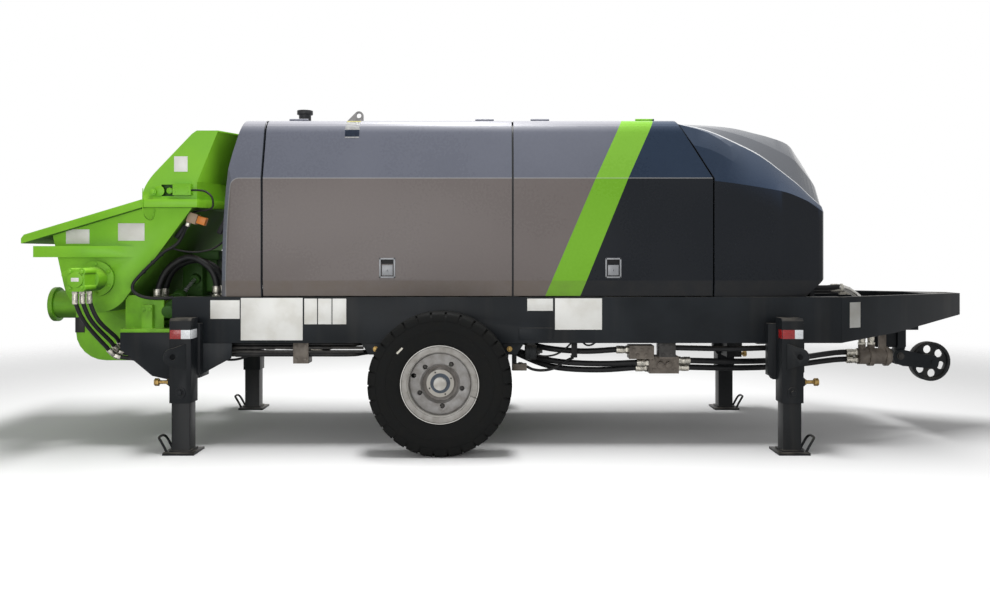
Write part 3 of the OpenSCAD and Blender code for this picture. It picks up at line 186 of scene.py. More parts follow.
# The frame: two channel beams, rear plates, cross members and a tapering drawbar with its tow eye, welded
# from steel plate, in satin charcoal paint that is dusty on top.


def start(name, rough, metal=0.0, specular=0.5):
    """A new material, its shader, and the place on the piece."""
    material = bpy.data.materials.new(name)
    material.use_nodes = True
    tree = material.node_tree
    shader = tree.nodes["Principled BSDF"]
    shader.inputs["Roughness"].default_value = rough
    shader.inputs["Metallic"].default_value = metal
    shader.inputs["Specular IOR Level"].default_value = specular
    return material, shader, Finish(tree, tree.nodes.new("ShaderNodeTexCoord").outputs["Object"])


def noise(place, scale, detail=2.0, stretch=(1, 1, 1)):
    spread = place.node("ShaderNodeMapping", {}, {"Vector": place, "Scale": stretch})
    return place.node("ShaderNodeTexNoise", {}, {"Vector": spread, "Scale": scale, "Detail": detail})


def facing_up(place):
    """How far a face of the piece points upwards, from -1 to 1, while the piece is at rest."""
    return place.node("ShaderNodeTexCoord", out="Normal").axis("Z")


def lay(shader, coat, rough, height, distance, strength):
    """Gives a shader its colour, its roughness where that varies, and its fine unevenness."""
    coat.into(shader, "Base Color")
    if rough:
        rough.into(shader, "Roughness")
    bump = height.node("ShaderNodeBump", {}, {"Height": height, "Distance": distance, "Strength": strength})
    bump.into(shader, "Normal")


def painted(name, colour, rough, dust=0.15, streak=0.12, specular=0.4, dust_colour=tint(150, 142, 130)):
    """Sprayed paint: a little mottled, dusty where it faces up, streaked down its sides."""
    material, shader, place = start(name, rough, specular=specular)
    mottle = noise(place, 2.6, 5.0)
    runs = noise(place, 9.0, 3.0, (1, 1, 0.08)).rises(0.5, 0.78)
    dark = tuple(c * 0.72 for c in colour[:3]) + (1.0,)
    light = tuple(min(c * 1.12 + 0.004, 1.0) for c in colour[:3]) + (1.0,)
    coat = mottle.rises(0.3, 0.7).tints(dark, light)
    coat = (runs * streak).tints(coat, dust_colour)
    lie = facing_up(place).rises(0.35, 0.95) * noise(place, 14.0, 4.0).rises(0.3, 0.7) * dust
    coat = lie.tints(coat, dust_colour)
    grain = noise(place, 210.0, 1.0) + 0.3 * noise(place, 130.0, 2.0)
    lay(shader, coat, rough + 0.12 * mottle + 0.25 * lie - 0.06, grain, 0.0006, 0.16)
    return material


shadings = {}


def soft_shading(angle):
    """A modifier's nodes that shade faces smooth and keep the edges sharper than an angle."""
    if angle not in shadings:
        group = bpy.data.node_groups.new("soft_shading_%d" % angle, "GeometryNodeTree")
        group.interface.new_socket("Geometry", in_out="INPUT", socket_type="NodeSocketGeometry")
        group.interface.new_socket("Geometry", in_out="OUTPUT", socket_type="NodeSocketGeometry")
        entry = Finish(group, group.nodes.new("NodeGroupInput").outputs[0])
        whole = entry.node("GeometryNodeSetShadeSmooth", {"domain": "FACE"},
                           {"Geometry": entry, "Shade Smooth": True})
        bend = entry.node("GeometryNodeInputMeshEdgeAngle")
        sharp = entry.node("FunctionNodeCompare", {"data_type": "FLOAT", "operation": "GREATER_THAN"},
                           {0: bend, 1: math.radians(angle)})
        split = entry.node("GeometryNodeSetShadeSmooth", {"domain": "EDGE"},
                           {"Geometry": whole, "Selection": sharp, "Shade Smooth": False})
        split.into(group.nodes.new("NodeGroupOutput"), 0)
        shadings[angle] = group
    return shadings[angle]


def dress(names, material, edge=0.003, angle=30, rounds=0):
    """Gives solids their finish, slightly rounded edges and smooth curved faces."""
    for name in names:
        solid = nodes[name]
        solid.data.materials.clear()
        solid.data.materials.append(material)
        solid.modifiers.new("weld", "WELD").merge_threshold = 0.00005
        if rounds:
            swell = solid.modifiers.new("round", "SUBSURF")
            swell.levels = swell.render_levels = rounds
        if edge:
            flat = solid.modifiers.new("flat", "DECIMATE")
            flat.decimate_type = "DISSOLVE"
            flat.angle_limit = math.radians(0.4)
            bevel = solid.modifiers.new("edge", "BEVEL")
            bevel.width = edge
            bevel.segments = 2
            bevel.limit_method = "ANGLE"
            bevel.angle_limit = math.radians(angle)
        solid.modifiers.new("smooth", "NODES").node_group = soft_shading(angle)


frame_paint = painted("frame_paint", tint(24, 28, 32), 0.42, dust=0.3, streak=0.03, specular=0.14)
dress(["side_beam_right", "side_beam_left", "rear_plates", "cross_members", "drawbar", "tow_eye"],
      frame_paint)

# Blank plates riveted to the right beam's web: thin sheet with white enamel,
# a little yellowed, in a row behind the wheel and a pair in front of it.
web_y = -0.7
enamel, shader, place = start("white_enamel", 0.35)
yellowed = noise(place, 7.0, 4.0).rises(0.35, 0.8)
coat = yellowed.tints(tint(226, 226, 222), tint(206, 204, 196))
lay(shader, coat, None, noise(place, 60.0, 2.0), 0.0004, 0.15)


def settle(form, name, body, material, angle=30):
    """Turns a finished form into a piece that rides on a body."""
    bmesh.ops.recalc_face_normals(form, faces=form.faces)
    made = bpy.data.objects.new(name, bpy.data.meshes.new(name))
    form.to_mesh(made.data)
    form.free()
    made.data.materials.append(material)
    scene.collection.objects.link(made)
    made.modifiers.new("smooth", "NODES").node_group = soft_shading(angle)
    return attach(made, body)


def round_edges(form, block, edge):
    edges = list(dict.fromkeys(e for v in block for e in v.link_edges))
    bmesh.ops.bevel(form, geom=edges, offset=edge, segments=2, profile=0.5, affect="EDGES", material=-1)


def slab(form, corner, opposite, edge=0.002):
    """A block between two opposite corners, with rounded edges."""
    low, high = Vector(map(min, corner, opposite)), Vector(map(max, corner, opposite))
    block = bmesh.ops.create_cube(form, size=1.0)["verts"]
    bmesh.ops.scale(form, verts=block, vec=high - low)
    bmesh.ops.translate(form, verts=block, vec=(low + high) / 2)
    if edge:
        round_edges(form, block, edge)


def side_plate(form, x, z, y, thick=0.002):
    slab(form, (x[0], y - thick, z[0]), (x[1], y + 0.001, z[1]), 0.0008)


form = bmesh.new()
for x, z in (((-1.838, -1.655), (0.806, 0.922)), ((-1.648, -1.262), (0.672, 0.936)),
             ((-1.252, -1.172), (0.772, 0.932)), ((-1.166, -1.082), (0.772, 0.932)),
             ((-1.076, -0.99), (0.772, 0.932)), ((0.139, 0.299), (0.856, 0.932)),
             ((0.312, 0.605), (0.738, 0.934))):
    side_plate(form, x, z, web_y)
settle(form, "beam_plates", "frame", enamel)

# The legs: square sleeves bolted to the beams, with lashing lugs, and telescopic legs on plate feet, in
# charcoal paint. Reflective tape wraps one corner of each sleeve, and a yellow zinc-plated screw clamps
# the leg in it.
sides = {"right": -1, "left": 1}
leg_x = {"rear": -1.964, "front": 1.737}
leg_y, sleeve_half, sleeve_face = 0.82, 0.065, 0.885
tape_low, tape_high, tape_half, tape_t = 0.697, 0.751, 0.062, 0.002
tape_split = {"rear": 0.005, "front": 0.012}
tape_end_y = {"rear": 0.775, "front": 0.815}
clamp_z, pin_y, pin_z = 0.428, 0.893, 0.371
clamp_screw = ((0.104, 0.149, 0.0116, 16, 0.0), (0.1485, 0.1758, 0.0238, 6, 0.002),
               (0.0845, 0.1025, 0.0178, 6, 0.002))


def rod(form, first, second, radius, corners=24, edge=0.0):
    """A round bar, or a hexagon with six corners, between two points."""
    first, second = Vector(first), Vector(second)
    turn = (second - first).to_track_quat("Z", "Y").to_matrix().to_4x4()
    bar = bmesh.ops.create_cone(form, cap_ends=True, segments=corners, radius1=radius, radius2=radius,
                                depth=(second - first).length,
                                matrix=Matrix.Translation((first + second) / 2) @ turn)["verts"]
    if edge:
        rims = [e for e in dict.fromkeys(e for v in bar for e in v.link_edges)
                if any(len(f.verts) == corners for f in e.link_faces)]
        bmesh.ops.bevel(form, geom=rims, offset=edge, segments=2, profile=0.5, affect="EDGES", material=-1)


def screw(form, place, out, radius, height=None):
    """A washer and a hexagon head that stands out from a face."""
    place, out = Vector(place), Vector(out).normalized()
    height = height or radius * 0.7
    rod(form, place - out * 0.001, place + out * height * 0.25, radius * 1.35, 20)
    rod(form, place, place + out * height, radius, 6, radius * 0.1)


def plated(name, dark, light, metal, grain, rough, spread):
    """Zinc-plated steel with a cloudy bloom."""
    material, shader, place = start(name, rough, metal)
    bloom = noise(place, grain, 4.0).rises(0.3, 0.7)
    lay(shader, bloom.tints(dark, light), rough + spread * bloom, noise(place, 260.0, 2.0), 0.0004, 0.2)
    return material


def lens(name, dark, light):
    """Reflective sheet: small cells under a clear coat."""
    material, shader, place = start(name, 0.25)
    cells = place.node("ShaderNodeTexVoronoi", {"feature": "DISTANCE_TO_EDGE"},
                       {"Vector": place, "Scale": 240.0})
    shader.inputs["Coat Weight"].default_value = 0.2
    lay(shader, cells.rises(0.0, 0.12).tints(dark, light), None, cells.rises(0.0, 0.2), 0.0004, 0.3)
    return material


zinc = plated("zinc_plate", tint(150, 148, 140), tint(205, 200, 188), 0.9, 40.0, 0.26, 0.22)
yellow_zinc = plated("yellow_zinc", tint(112, 88, 46), tint(170, 142, 88), 0.85, 60.0, 0.3, 0.2)
sleeve_paint = painted("sleeve_paint", tint(21, 24, 27), 0.45, dust=0.3, streak=0.04, specular=0.14)
dress(["leg_sleeve_%s_%s" % (end, side) for end in leg_x for side in sides], sleeve_paint)
leg_paint = painted("leg_paint", tint(22, 24, 26), 0.4, dust=0.3, streak=0.06, specular=0.16)
dress(["leg_%s_%s" % (end, side) for end in leg_x for side in sides], leg_paint)
red_lens = lens("red_reflector", tint(92, 6, 8), tint(158, 14, 16))
white_lens = lens("white_reflector", tint(176, 180, 184), tint(226, 228, 230))
red_form, white_form, bolt_form, yellow_form = bmesh.new(), bmesh.new(), bmesh.new(), bmesh.new()
for end, x in leg_x.items():
    away = -1 if end == "rear" else 1
    wrap_form = white_form if end == "rear" else red_form
    wrap_x = x - away * sleeve_half
    split = x + tape_split[end]
    for y in (-1, 1):
        face, wrap_end = y * sleeve_face, y * tape_end_y[end]
        for tape, first, second in ((red_form, (x - tape_half, face - tape_t), (split, face + tape_t)),
                                    (white_form, (split, face - tape_t), (x + tape_half, face + tape_t)),
                                    (wrap_form, (wrap_x - tape_t, face), (wrap_x + tape_t, wrap_end))):
            slab(tape, first + (tape_low,), second + (tape_high,), 0.0008)
        for near, far, radius, corners, edge in clamp_screw:
            rod(yellow_form, (x + away * near, y * leg_y, clamp_z), (x + away * far, y * leg_y, clamp_z),
                radius, corners, edge)
        screw(bolt_form, (x, y * pin_y, pin_z), (0, y, 0), 0.016, 0.012)
settle(red_form, "leg_reflectors_red", "frame", red_lens)
settle(white_form, "leg_reflectors_white", "frame", white_lens)
settle(yellow_form, "leg_clamp_screws", "frame", yellow_zinc)
settle(bolt_form, "leg_pin_bolts", "frame", sleeve_paint)

# The running gear: a square axle hung under two stacks of leaf springs by U-bolts with a plate below,
# yellow nuts on the springs' pins, and a pressed brake chamber bolted to the right beam's foot.
axle_x, axle_z, wheel_y, spring_y = -0.391, 0.4325, 0.8825, 0.6
bolt_r, bolt_in, bolt_reach, bolt_foot, bolt_top = 0.0085, 0.0485, 0.046, 0.338, 0.5855
plate_low, plate_high, plate_half = 0.3575, 0.3715, 0.07
pin_reach, spring_pin_z = 0.42, 0.6145
brake_x, brake_y, brake_z = 0.126, -0.61, 0.594
spring_paint = painted("spring_paint", tint(26, 28, 30), 0.5, dust=0.3, streak=0.1, specular=0.2)
dress(["axle", "spring_hangers"], frame_paint)
dress(["leaf_springs"], spring_paint, 0.0015)
form, pins = bmesh.new(), bmesh.new()
for y in (-spring_y, spring_y):
    for x in (axle_x - bolt_reach, axle_x + bolt_reach):
        for bolt_y in (y - bolt_in, y + bolt_in):
            rod(form, (x, bolt_y, bolt_foot), (x, bolt_y, bolt_top - 0.0005), bolt_r, 16, 0.001)
            screw(form, (x, bolt_y, plate_low), (0, 0, -1), 0.014)
        rod(form, (x, y - bolt_in, bolt_top), (x, y + bolt_in, bolt_top), bolt_r, 16)
    slab(form, (axle_x - plate_half, y - plate_half, plate_low),
         (axle_x + plate_half, y + plate_half, plate_high))
    for x in (axle_x - pin_reach, axle_x + pin_reach):
        for out in (-1, 1):
            screw(pins, (x, y + out * 0.07, spring_pin_z), (0, out, 0), 0.0125, 0.011)
settle(form, "spring_bolts", "frame", spring_paint)
settle(pins, "spring_pin_nuts", "frame", yellow_zinc)
form = bmesh.new()
for near, far, radius, corners, edge in ((0.0, 0.074, 0.052, 32, 0.012), (0.03, 0.042, 0.058, 32, 0.003),
                                         (0.072, 0.096, 0.019, 20, 0.002), (0.094, 0.112, 0.012, 6, 0.001)):
    rod(form, (brake_x + near, brake_y, brake_z), (brake_x + far, brake_y, brake_z), radius, corners, edge)
slab(form, (brake_x + 0.014, brake_y - 0.035, brake_z + 0.041),
     (brake_x + 0.064, brake_y + 0.035, brake_z + 0.063))
settle(form, "brake_chamber", "frame", spring_paint)

# The rims: pressed steel in dusty silver, with a split lock ring, a dished centre and a turned hub.
# Five nuts hold each one, and a valve stem stands in a gap of the dish.
rim_silver, shader, place = start("rim_silver", 0.36, specular=0.45)
radius = ((place.axis("X") - axle_x).squared() + (place.axis("Z") - axle_z).squared()) ** 0.5
grime = noise(place, 24.0, 5.0).rises(0.35, 0.75)
coat = grime.tints(tint(148, 145, 140), tint(126, 122, 116))
# Thin lines by radius: painted highlights on the lock ring's rounded edges, painted shade in its grooves.
for line_r, half, shade in ((0.2325, 0.0024, tint(206, 204, 198)), (0.2275, 0.002, tint(70, 68, 66)),
                            (0.1945, 0.0013, tint(92, 90, 86)), (0.1905, 0.0016, tint(200, 198, 192))):
    coat = (radius - line_r).squared().rises(half ** 2, 0.3 * half ** 2).tints(coat, shade)
for edge_r, blend, shade in ((0.186, 0.004, grime.tints(tint(140, 138, 136), tint(118, 114, 110))),
                             (0.106, 0.002, grime.tints(tint(96, 90, 84), tint(74, 69, 64))),
                             (0.082, 0.002, tint(166, 162, 154)),
                             (0.0595, 0.0015, grime.tints(tint(74, 84, 96), tint(60, 66, 74))),
                             (0.0385, 0.001, grime.tints(tint(186, 184, 178), tint(160, 156, 148)))):
    coat = radius.rises(edge_r, edge_r + blend).tints(shade, coat)
lay(shader, coat, 0.3 + 0.22 * grime, noise(place, 190.0, 2.0), 0.0005, 0.15)
dress(["rim_right", "rim_left"], rim_silver, 0.0015)
dark_steel = painted("dark_steel", tint(46, 44, 42), 0.5, dust=0.1, streak=0.1, specular=0.3)


def ring(count, radius, first):
    """Spots evenly round a circle, from a first angle in degrees."""
    turns = [math.radians(first + 360 * i / count) for i in range(count)]
    return [(radius * math.cos(turn), radius * math.sin(turn)) for turn in turns]


for side, out in sides.items():
    form = bmesh.new()
    hub = Vector((axle_x, out * wheel_y, axle_z))
    for x, z in ring(5, 0.134, 60):
        stud = hub + Vector((x, out * 0.024, z))
        rod(form, stud, stud + Vector((0, out * 0.012, 0)), 0.0125, 6, 0.0015)
        rod(form, stud, stud + Vector((0, out * 0.019, 0)), 0.007, 14, 0.001)
    for x, z in ring(4, 0.0715, 25):
        cap_screw = hub + Vector((x, out * 0.026, z))
        rod(form, cap_screw, cap_screw + Vector((0, out * 0.0045, 0)), 0.0055, 6, 0.0006)
    for x, z in ring(1, 0.166, 163):
        valve = hub + Vector((x, out * 0.02, z))
        rod(form, valve, valve + Vector((0.01, out * 0.03, 0)), 0.0055, 12, 0.001)
    settle(form, "wheel_nuts_%s" % side, "wheel_%s" % side, dark_steel)

# The tyres: bias-ply truck tyres of black rubber, moulded with thirty shoulder lugs a side, three middle ribs
# and a thin ring around the sidewall. A worn white paint mark shows on the right one.
mark_x, mark_z = -0.626, 0.637
lugs = 30
rubber, shader, place = start("tyre_rubber", 0.75, specular=0.12)
dusty = noise(place, 16.0, 5.0).rises(0.35, 0.75)
from_mark_x = place.axis("X") - mark_x
from_mark_z = place.axis("Z") - mark_z
mark = (from_mark_x + from_mark_z).squared().below(0.0011)
mark = mark * (from_mark_z - from_mark_x).squared().below(0.00006)
mark = mark * place.axis("Y").rises(-0.9, -0.91)
coat = mark.tints(dusty.tints(tint(12, 13, 13), tint(24, 24, 23)), tint(206, 202, 190))
lay(shader, coat, 0.66 + 0.2 * dusty, noise(place, 320.0, 2.0), 0.0008, 0.25)
wall = [(0.2145, 0.0845), (0.236, 0.0845), (0.2395, 0.0985), (0.25, 0.106), (0.27, 0.1105), (0.3, 0.1155),
        (0.32, 0.1172), (0.3205, 0.1185), (0.3245, 0.1185), (0.325, 0.1172), (0.345, 0.117), (0.3655, 0.1155),
        (0.381, 0.1125), (0.4, 0.1065), (0.411, 0.098), (0.417, 0.086), (0.418, 0.06)]
rib = [(0.416, -0.0125), (0.4305, -0.0115), (0.432, -0.01), (0.432, 0.01), (0.4305, 0.0115), (0.416, 0.0125)]
lug = [(0.379, 0.108), (0.381, 0.1143), (0.386, 0.1146), (0.4, 0.1105), (0.414, 0.1075), (0.424, 0.1005),
       (0.4305, 0.09), (0.432, 0.08), (0.432, 0.05), (0.414, 0.05), (0.412, 0.08), (0.4, 0.1)]


def turn_ring(form, hub, outline):
    """Spins an open outline of radius and width about the hub, and closes the seam."""
    line = [form.verts.new(hub + Vector((radius, y, 0))) for radius, y in outline]
    seam = [form.edges.new(pair) for pair in zip(line, line[1:])]
    bmesh.ops.spin(form, geom=line + seam, cent=hub, axis=(0, 1, 0), angle=math.tau, steps=120,
                   use_merge=True)
    bmesh.ops.remove_doubles(form, verts=form.verts, dist=0.00005)


for side, out in sides.items():
    form = bmesh.new()
    hub = Vector((axle_x, out * wheel_y, axle_z))
    turn_ring(form, hub, wall + [(radius, -y) for radius, y in reversed(wall)])
    for rib_y in (-0.03, 0.0, 0.03):
        turn_ring(form, hub, [(radius, rib_y + y) for radius, y in rib])
    for face in (-1, 1):
        earlier = set(form.faces)
        cut = form.faces.new([form.verts.new(hub + Vector((radius, face * y, 0))) for radius, y in lug])
        bmesh.ops.spin(form, geom=[cut], cent=hub, axis=(0, 1, 0), angle=math.radians(10.1), steps=5)
        one = [f for f in form.faces if f not in earlier]
        bmesh.ops.recalc_face_normals(form, faces=one)
        for i in range(1, lugs):
            copy = bmesh.ops.duplicate(form, geom=one)["geom"]
            bmesh.ops.rotate(form, verts=[v for v in copy if isinstance(v, bmesh.types.BMVert)], cent=hub,
                             matrix=Matrix.Rotation(math.tau * i / lugs, 3, "Y"))
    tyre = settle(form, "tyre_%s_moulded" % side, "wheel_%s" % side, rubber, 28)
    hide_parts("tyre_%s" % side)

# The hood: a rear section, a roof and four gull-wing doors of pressed sheet, sprayed grey, with a green band
# that leans forwards and dark blue in front of it; black seals show in the joints between the panels.
hood_foot, crease_z, foot_band_z = 0.942, 1.684, 1.048
rear_joint_x, door_joint_x, nose_joint_x, paler_x = -1.518, 0.049, 1.303, 1.3
nose_ridge = ((1.04, 2.07), (1.3, 2.013), (1.5, 1.924), (1.64, 1.847), (1.764, 1.749), (1.87, 1.657),
              (1.927, 1.592), (2.0, 1.52), (2.03, 1.504), (2.1, 1.486))
ridge_x, ridge_length, ridge_low, ridge_rise = 1.0, 1.1, 1.4, 0.7


def smooth_path(points, steps=8):
    """Points on one smooth line through the given ones."""
    points = [Vector(p) for p in points]
    points = [2 * points[0] - points[1]] + points + [2 * points[-1] - points[-2]]
    line = []
    for a, b, c, d in zip(points, points[1:], points[2:], points[3:]):
        for i in range(steps):
            t = i / steps
            line.append(0.5 * (2 * b + (c - a) * t + (2 * a - 5 * b + 4 * c - d) * t * t
                               + (3 * b - a - 3 * c + d) * t ** 3))
    return line + [points[-2]]


def hood_coat(name, curved):
    """Hood paint: cooler above the crease as painted reflection, a painted highlight on the pressed edge or
    ridge.
    """
    material, shader, place = start(name, 0.3, specular=0.16)
    along_x = place.axis("X")
    height = place.axis("Z")
    over = (height - crease_z).most(0.0)
    band_rear = 0.249 + 0.4286 * (height - hood_foot) + 0.0454 * over
    band_front = 0.468 + 0.407 * (height - hood_foot) + 0.067 * over
    if curved:
        # Painted reflection on faces that lean up, above the crease.
        upper_reflection = facing_up(place).rises(0.05, 0.16)
        span = (along_x - ridge_x) * (1 / ridge_length)
        stops = [((p.x - ridge_x) / ridge_length, ((p.z - ridge_low) / ridge_rise,) * 3 + (1.0,))
                 for p in smooth_path([(x, 0, z) for x, z in nose_ridge], 3)]
        ridge_z = ridge_low + ridge_rise * span.node("ShaderNodeValToRGB", {"stops": stops}, {"Fac": span})
        # A painted highlight along the ridge.
        off = (height - ridge_z).squared()
        edge = off.rises(0.01 ** 2, 0.004 ** 2) * (2.02 - along_x).rises(0.0, 0.05) * 0.9
        highlight_tint = tint(220, 221, 222)
        # Above the ridge: the clear coat, and a grey painted reflection.
        above = (height - ridge_z).rises(0.0, 0.004)
        above.into(shader, "Coat Weight")
        shader.inputs["Coat Roughness"].default_value = 0.22
        shader.inputs["Coat IOR"].default_value = 1.5
    else:
        corner_r = 0.05
        rear_edge = -1.744 + 0.12 * ((height - hood_foot) * (1 / 1.128)).most(0.0) ** 3.0
        drop = (corner_r - (crease_z - height)).most(0.0)
        inset = (corner_r - (along_x - rear_edge)).most(0.0)
        within = corner_r - (drop.squared() + inset.squared()) ** 0.5
        # Painted reflection above the crease and panel corner; a painted highlight on the pressed edge.
        upper_reflection = 1.0 - within.rises(-0.002, 0.004)
        edge = within.rises(-0.0045, -0.001) * (1.0 - within.rises(0.0005, 0.004)) * 0.4
        highlight_tint = tint(196, 194, 190)
        above = None
    sheen = 0.7 * noise(place, 1.7, 4.0).rises(0.3, 0.7) + 0.3 * noise(place, 60.0, 3.0).rises(0.3, 0.7)
    # Painted reflection: faces that point up turn paler.
    shoulder = facing_up(place).rises(0.3, 0.85)
    # Lower and cooler upper forms: the upper is painted reflection, the blue's dark lower form painted shade.
    grey = upper_reflection.tints(sheen.tints(tint(107, 100, 98), tint(114, 107, 105)),
                       sheen.tints(tint(98, 101, 112), tint(105, 108, 119)))
    grey = shoulder.tints(grey, tint(150, 150, 156))
    navy = sheen.tints(tint(31, 44, 62), tint(38, 51, 69))
    navy = (along_x - paler_x).rises(0.0, 0.8).tints(navy, tint(56, 72, 98))
    blue = upper_reflection.tints(sheen.tints(tint(20, 24, 30), tint(26, 29, 34)), navy)
    blue = shoulder.tints(blue, tint(72, 82, 98))
    # Above the nose's ridge, a grey painted reflection.
    if above:
        blue = above.tints(blue, tint(90, 93, 99))
    green = upper_reflection.tints(sheen.tints(tint(112, 170, 40), tint(122, 180, 50)),
                        sheen.tints(tint(118, 172, 54), tint(126, 180, 62)))
    coat = (along_x - band_rear).rises(-0.001, 0.001).tints(grey, green)
    coat = (along_x - band_front).rises(-0.001, 0.001).tints(coat, blue)
    coat = edge.tints(coat, highlight_tint)
    smear = 0.55 + 0.45 * noise(place, 11.0, 4.0).rises(0.35, 0.75)
    foot = (foot_band_z - height).rises(0.0, 0.007) * smear * 0.36
    soil = (along_x - band_front).rises(0.0, 0.002).tints(tint(98, 86, 68), tint(50, 48, 44))
    coat = foot.tints(coat, soil)
    seal = 0.0
    for gap, half in ((along_x - rear_joint_x, 0.0075), (along_x - door_joint_x, 0.006),
                      (along_x - (nose_joint_x - 0.552 * over), 0.008)):
        seal = 1.0 - gap.squared().rises((half * 0.7) ** 2, (half * 1.2) ** 2) + seal
    coat = seal.least(1.0).tints(coat, tint(20, 24, 30))
    waves = noise(place, 160.0, 1.0) + 0.4 * noise(place, 5.0, 2.0)
    lay(shader, coat, 0.24 + 0.1 * sheen + 0.4 * foot, waves, 0.0007, 0.08)
    return material


hood_paint = hood_coat("hood_paint", False)
doors = {"rear": -0.7345, "front": 0.676}
dress(["hood_rear", "hood_roof"] + ["door_%s_%s" % (end, side) for end in doors for side in sides],
      hood_paint, 0.004, 11)

# A latch low on each door: a cast frame in grey paint around a dark pocket in the sheet,
# with a finger slot above and a paddle with a key lock below.
door_face = 0.7
latch_low, latch_high, latch_half, lock_z = 1.0605, 1.1855, 0.05, 1.108
paddle_low, paddle_high, slot_low, slot_high = 1.0765, 1.142, 1.0695, 1.1765
latch_grey = painted("latch_grey", tint(150, 152, 156), 0.32, dust=0.1, streak=0.05, specular=0.5)
latch_dark = painted("latch_dark", tint(18, 19, 21), 0.5, dust=0.05, streak=0.02, specular=0.2)


def border(form, low, high, bar, near, far, edge):
    """Four bars just inside a rectangle, between two depths."""
    (left, foot), (right, head) = low, high
    for x, z in (((left, left + bar), (foot, head)), ((right - bar, right), (foot, head)),
                 ((left, right), (foot, foot + bar)), ((left, right), (head - bar, head))):
        slab(form, (x[0], near, z[0]), (x[1], far, z[1]), edge)


for end, x in doors.items():
    for side, out in sides.items():
        form, pocket = bmesh.new(), bmesh.new()
        face = out * door_face
        border(form, (x - latch_half, latch_low), (x + latch_half, latch_high), 0.01, face - 0.0045,
               face + 0.0045, 0.0015)
        slab(form, (x - 0.034, face - out * 0.009, paddle_low),
             (x + 0.034, face + out * 0.001, paddle_high), 0.003)
        rod(form, (x, face, lock_z), (x, face + out * 0.004, lock_z), 0.0095, 24, 0.001)
        slab(pocket, (x - 0.041, face - out * 0.0095, slot_low),
             (x + 0.041, face - out * 0.006, slot_high), 0.0)
        keyhole = face + out * 0.0037
        slab(pocket, (x - 0.0015, keyhole - 0.0006, lock_z - 0.005),
             (x + 0.0015, keyhole + 0.0006, lock_z + 0.005), 0.0)
        door = "door_%s_%s" % (end, side)
        settle(form, "latch_%s_%s" % (end, side), door, latch_grey)
        settle(pocket, "latch_pocket_%s_%s" % (end, side), door, latch_dark)

# A small blank tag over the right rear door's shoulder: adhesive film, white with a navy band near its foot
# and a yellow head, bent round with the sheet.
tag_rear, tag_front, tag_t = -1.012, -0.922, 0.0014
band_low, band_high, head_low = 1.9525, 1.998, 2.055
shoulder_foot, shoulder_bend, shoulder_top = 0.62, 0.598, 0.48
shoulder_low, shoulder_rise = 1.95, 0.12
tag_film, shader, place = start("tag_film", 0.3)
height = place.axis("Z")
worn = noise(place, 70.0, 3.0).rises(0.3, 0.8)
navy = worn.tints(tint(30, 44, 66), tint(40, 54, 76))
white = worn.tints(tint(206, 206, 206), tint(190, 190, 188))
coat = height.rises(band_high - 0.0005, band_high + 0.0005).tints(navy, white)
coat = height.rises(band_low + 0.0005, band_low - 0.0005).tints(coat, tint(206, 206, 206))
coat = height.rises(head_low - 0.001, head_low + 0.001).tints(coat, tint(206, 196, 84))
lay(shader, coat, None, worn, 0.0003, 0.1)
form = bmesh.new()
lean = Vector((0, -0.266, 0.08)).normalized()
rails = [[form.verts.new(Vector((x, -0.622, 1.9435)) + lean * tag_t) for x in (tag_rear, tag_front)]]
for i in range(13):
    t = 0.742 * i / 12
    u = 1 - t
    y = -(u * u * shoulder_foot + 2 * t * u * shoulder_bend + t * t * shoulder_top)
    z = shoulder_low + shoulder_rise * (1 - u * u)
    out = Vector((0, -u * shoulder_rise, u * (shoulder_foot - shoulder_bend)
                  + t * (shoulder_bend - shoulder_top))).normalized()
    rails.append([form.verts.new(Vector((x, y, z)) + out * tag_t) for x in (tag_rear, tag_front)])
for first, second in zip(rails, rails[1:]):
    form.faces.new((first[0], first[1], second[1], second[0]))
bmesh.ops.solidify(form, geom=form.faces[:], thickness=-0.0012)
settle(form, "shoulder_tag", "door_rear_right", tag_film)

# The nose: a moulded cover with a low crease, a sharp ridge and a rounded crown, in the same dark blue below
# the ridge and clear-coated above it, where a grey painted reflection lies; a painted highlight runs along
# the ridge, and a slotted black grille is let into its front.
nose_paint = hood_coat("nose_paint", True)
dress(["nose"], nose_paint, 0.004, 11)
black_trim = painted("black_trim", tint(28, 29, 31), 0.5, dust=0.25, streak=0.04)
dress(["nose_grille"], black_trim, 0)

# Under the hood: a cast engine block and a welded hydraulic tank, bolted to the frame,
# and the arch of grey sheet that carries the roof.
inner_steel = painted("inner_steel", tint(80, 82, 84), 0.5, dust=0.2)
dress(["hydraulic_tank"], inner_steel)
dress(["hood_arch"], inner_steel, 0)
engine_iron = painted("engine_iron", tint(92, 94, 96), 0.6, dust=0.3)
dress(["engine"], engine_iron)

# The roof's fittings: a black moulded filler cap behind, and a lifting eye of grey cast steel in front of it,
# both bolted through the roof's sheet.
between_x = -1.15
cap_and_eye, shader, place = start("cap_and_eye", 0.45, specular=0.35)
rough_cast = noise(place, 30.0, 4.0).rises(0.3, 0.7)
eye = (place.axis("X") - between_x).rises(-0.01, 0.01)
coat = eye.tints(rough_cast.tints(tint(22, 23, 25), tint(34, 35, 37)),
                 rough_cast.tints(tint(118, 117, 116), tint(146, 144, 142)))
lay(shader, coat, 0.38 + 0.2 * rough_cast, noise(place, 220.0, 2.0), 0.0006, 0.2)
dress(["roof_fittings"], cap_and_eye)

# The pumping unit under the frame: turned steel delivery and drive cylinders,
# clamped end to end on both sides of a green water box.
cylinder_steel = painted("cylinder_steel", tint(120, 122, 120), 0.38, dust=0.3)
dress(["delivery_cylinders", "main_cylinders"], cylinder_steel)
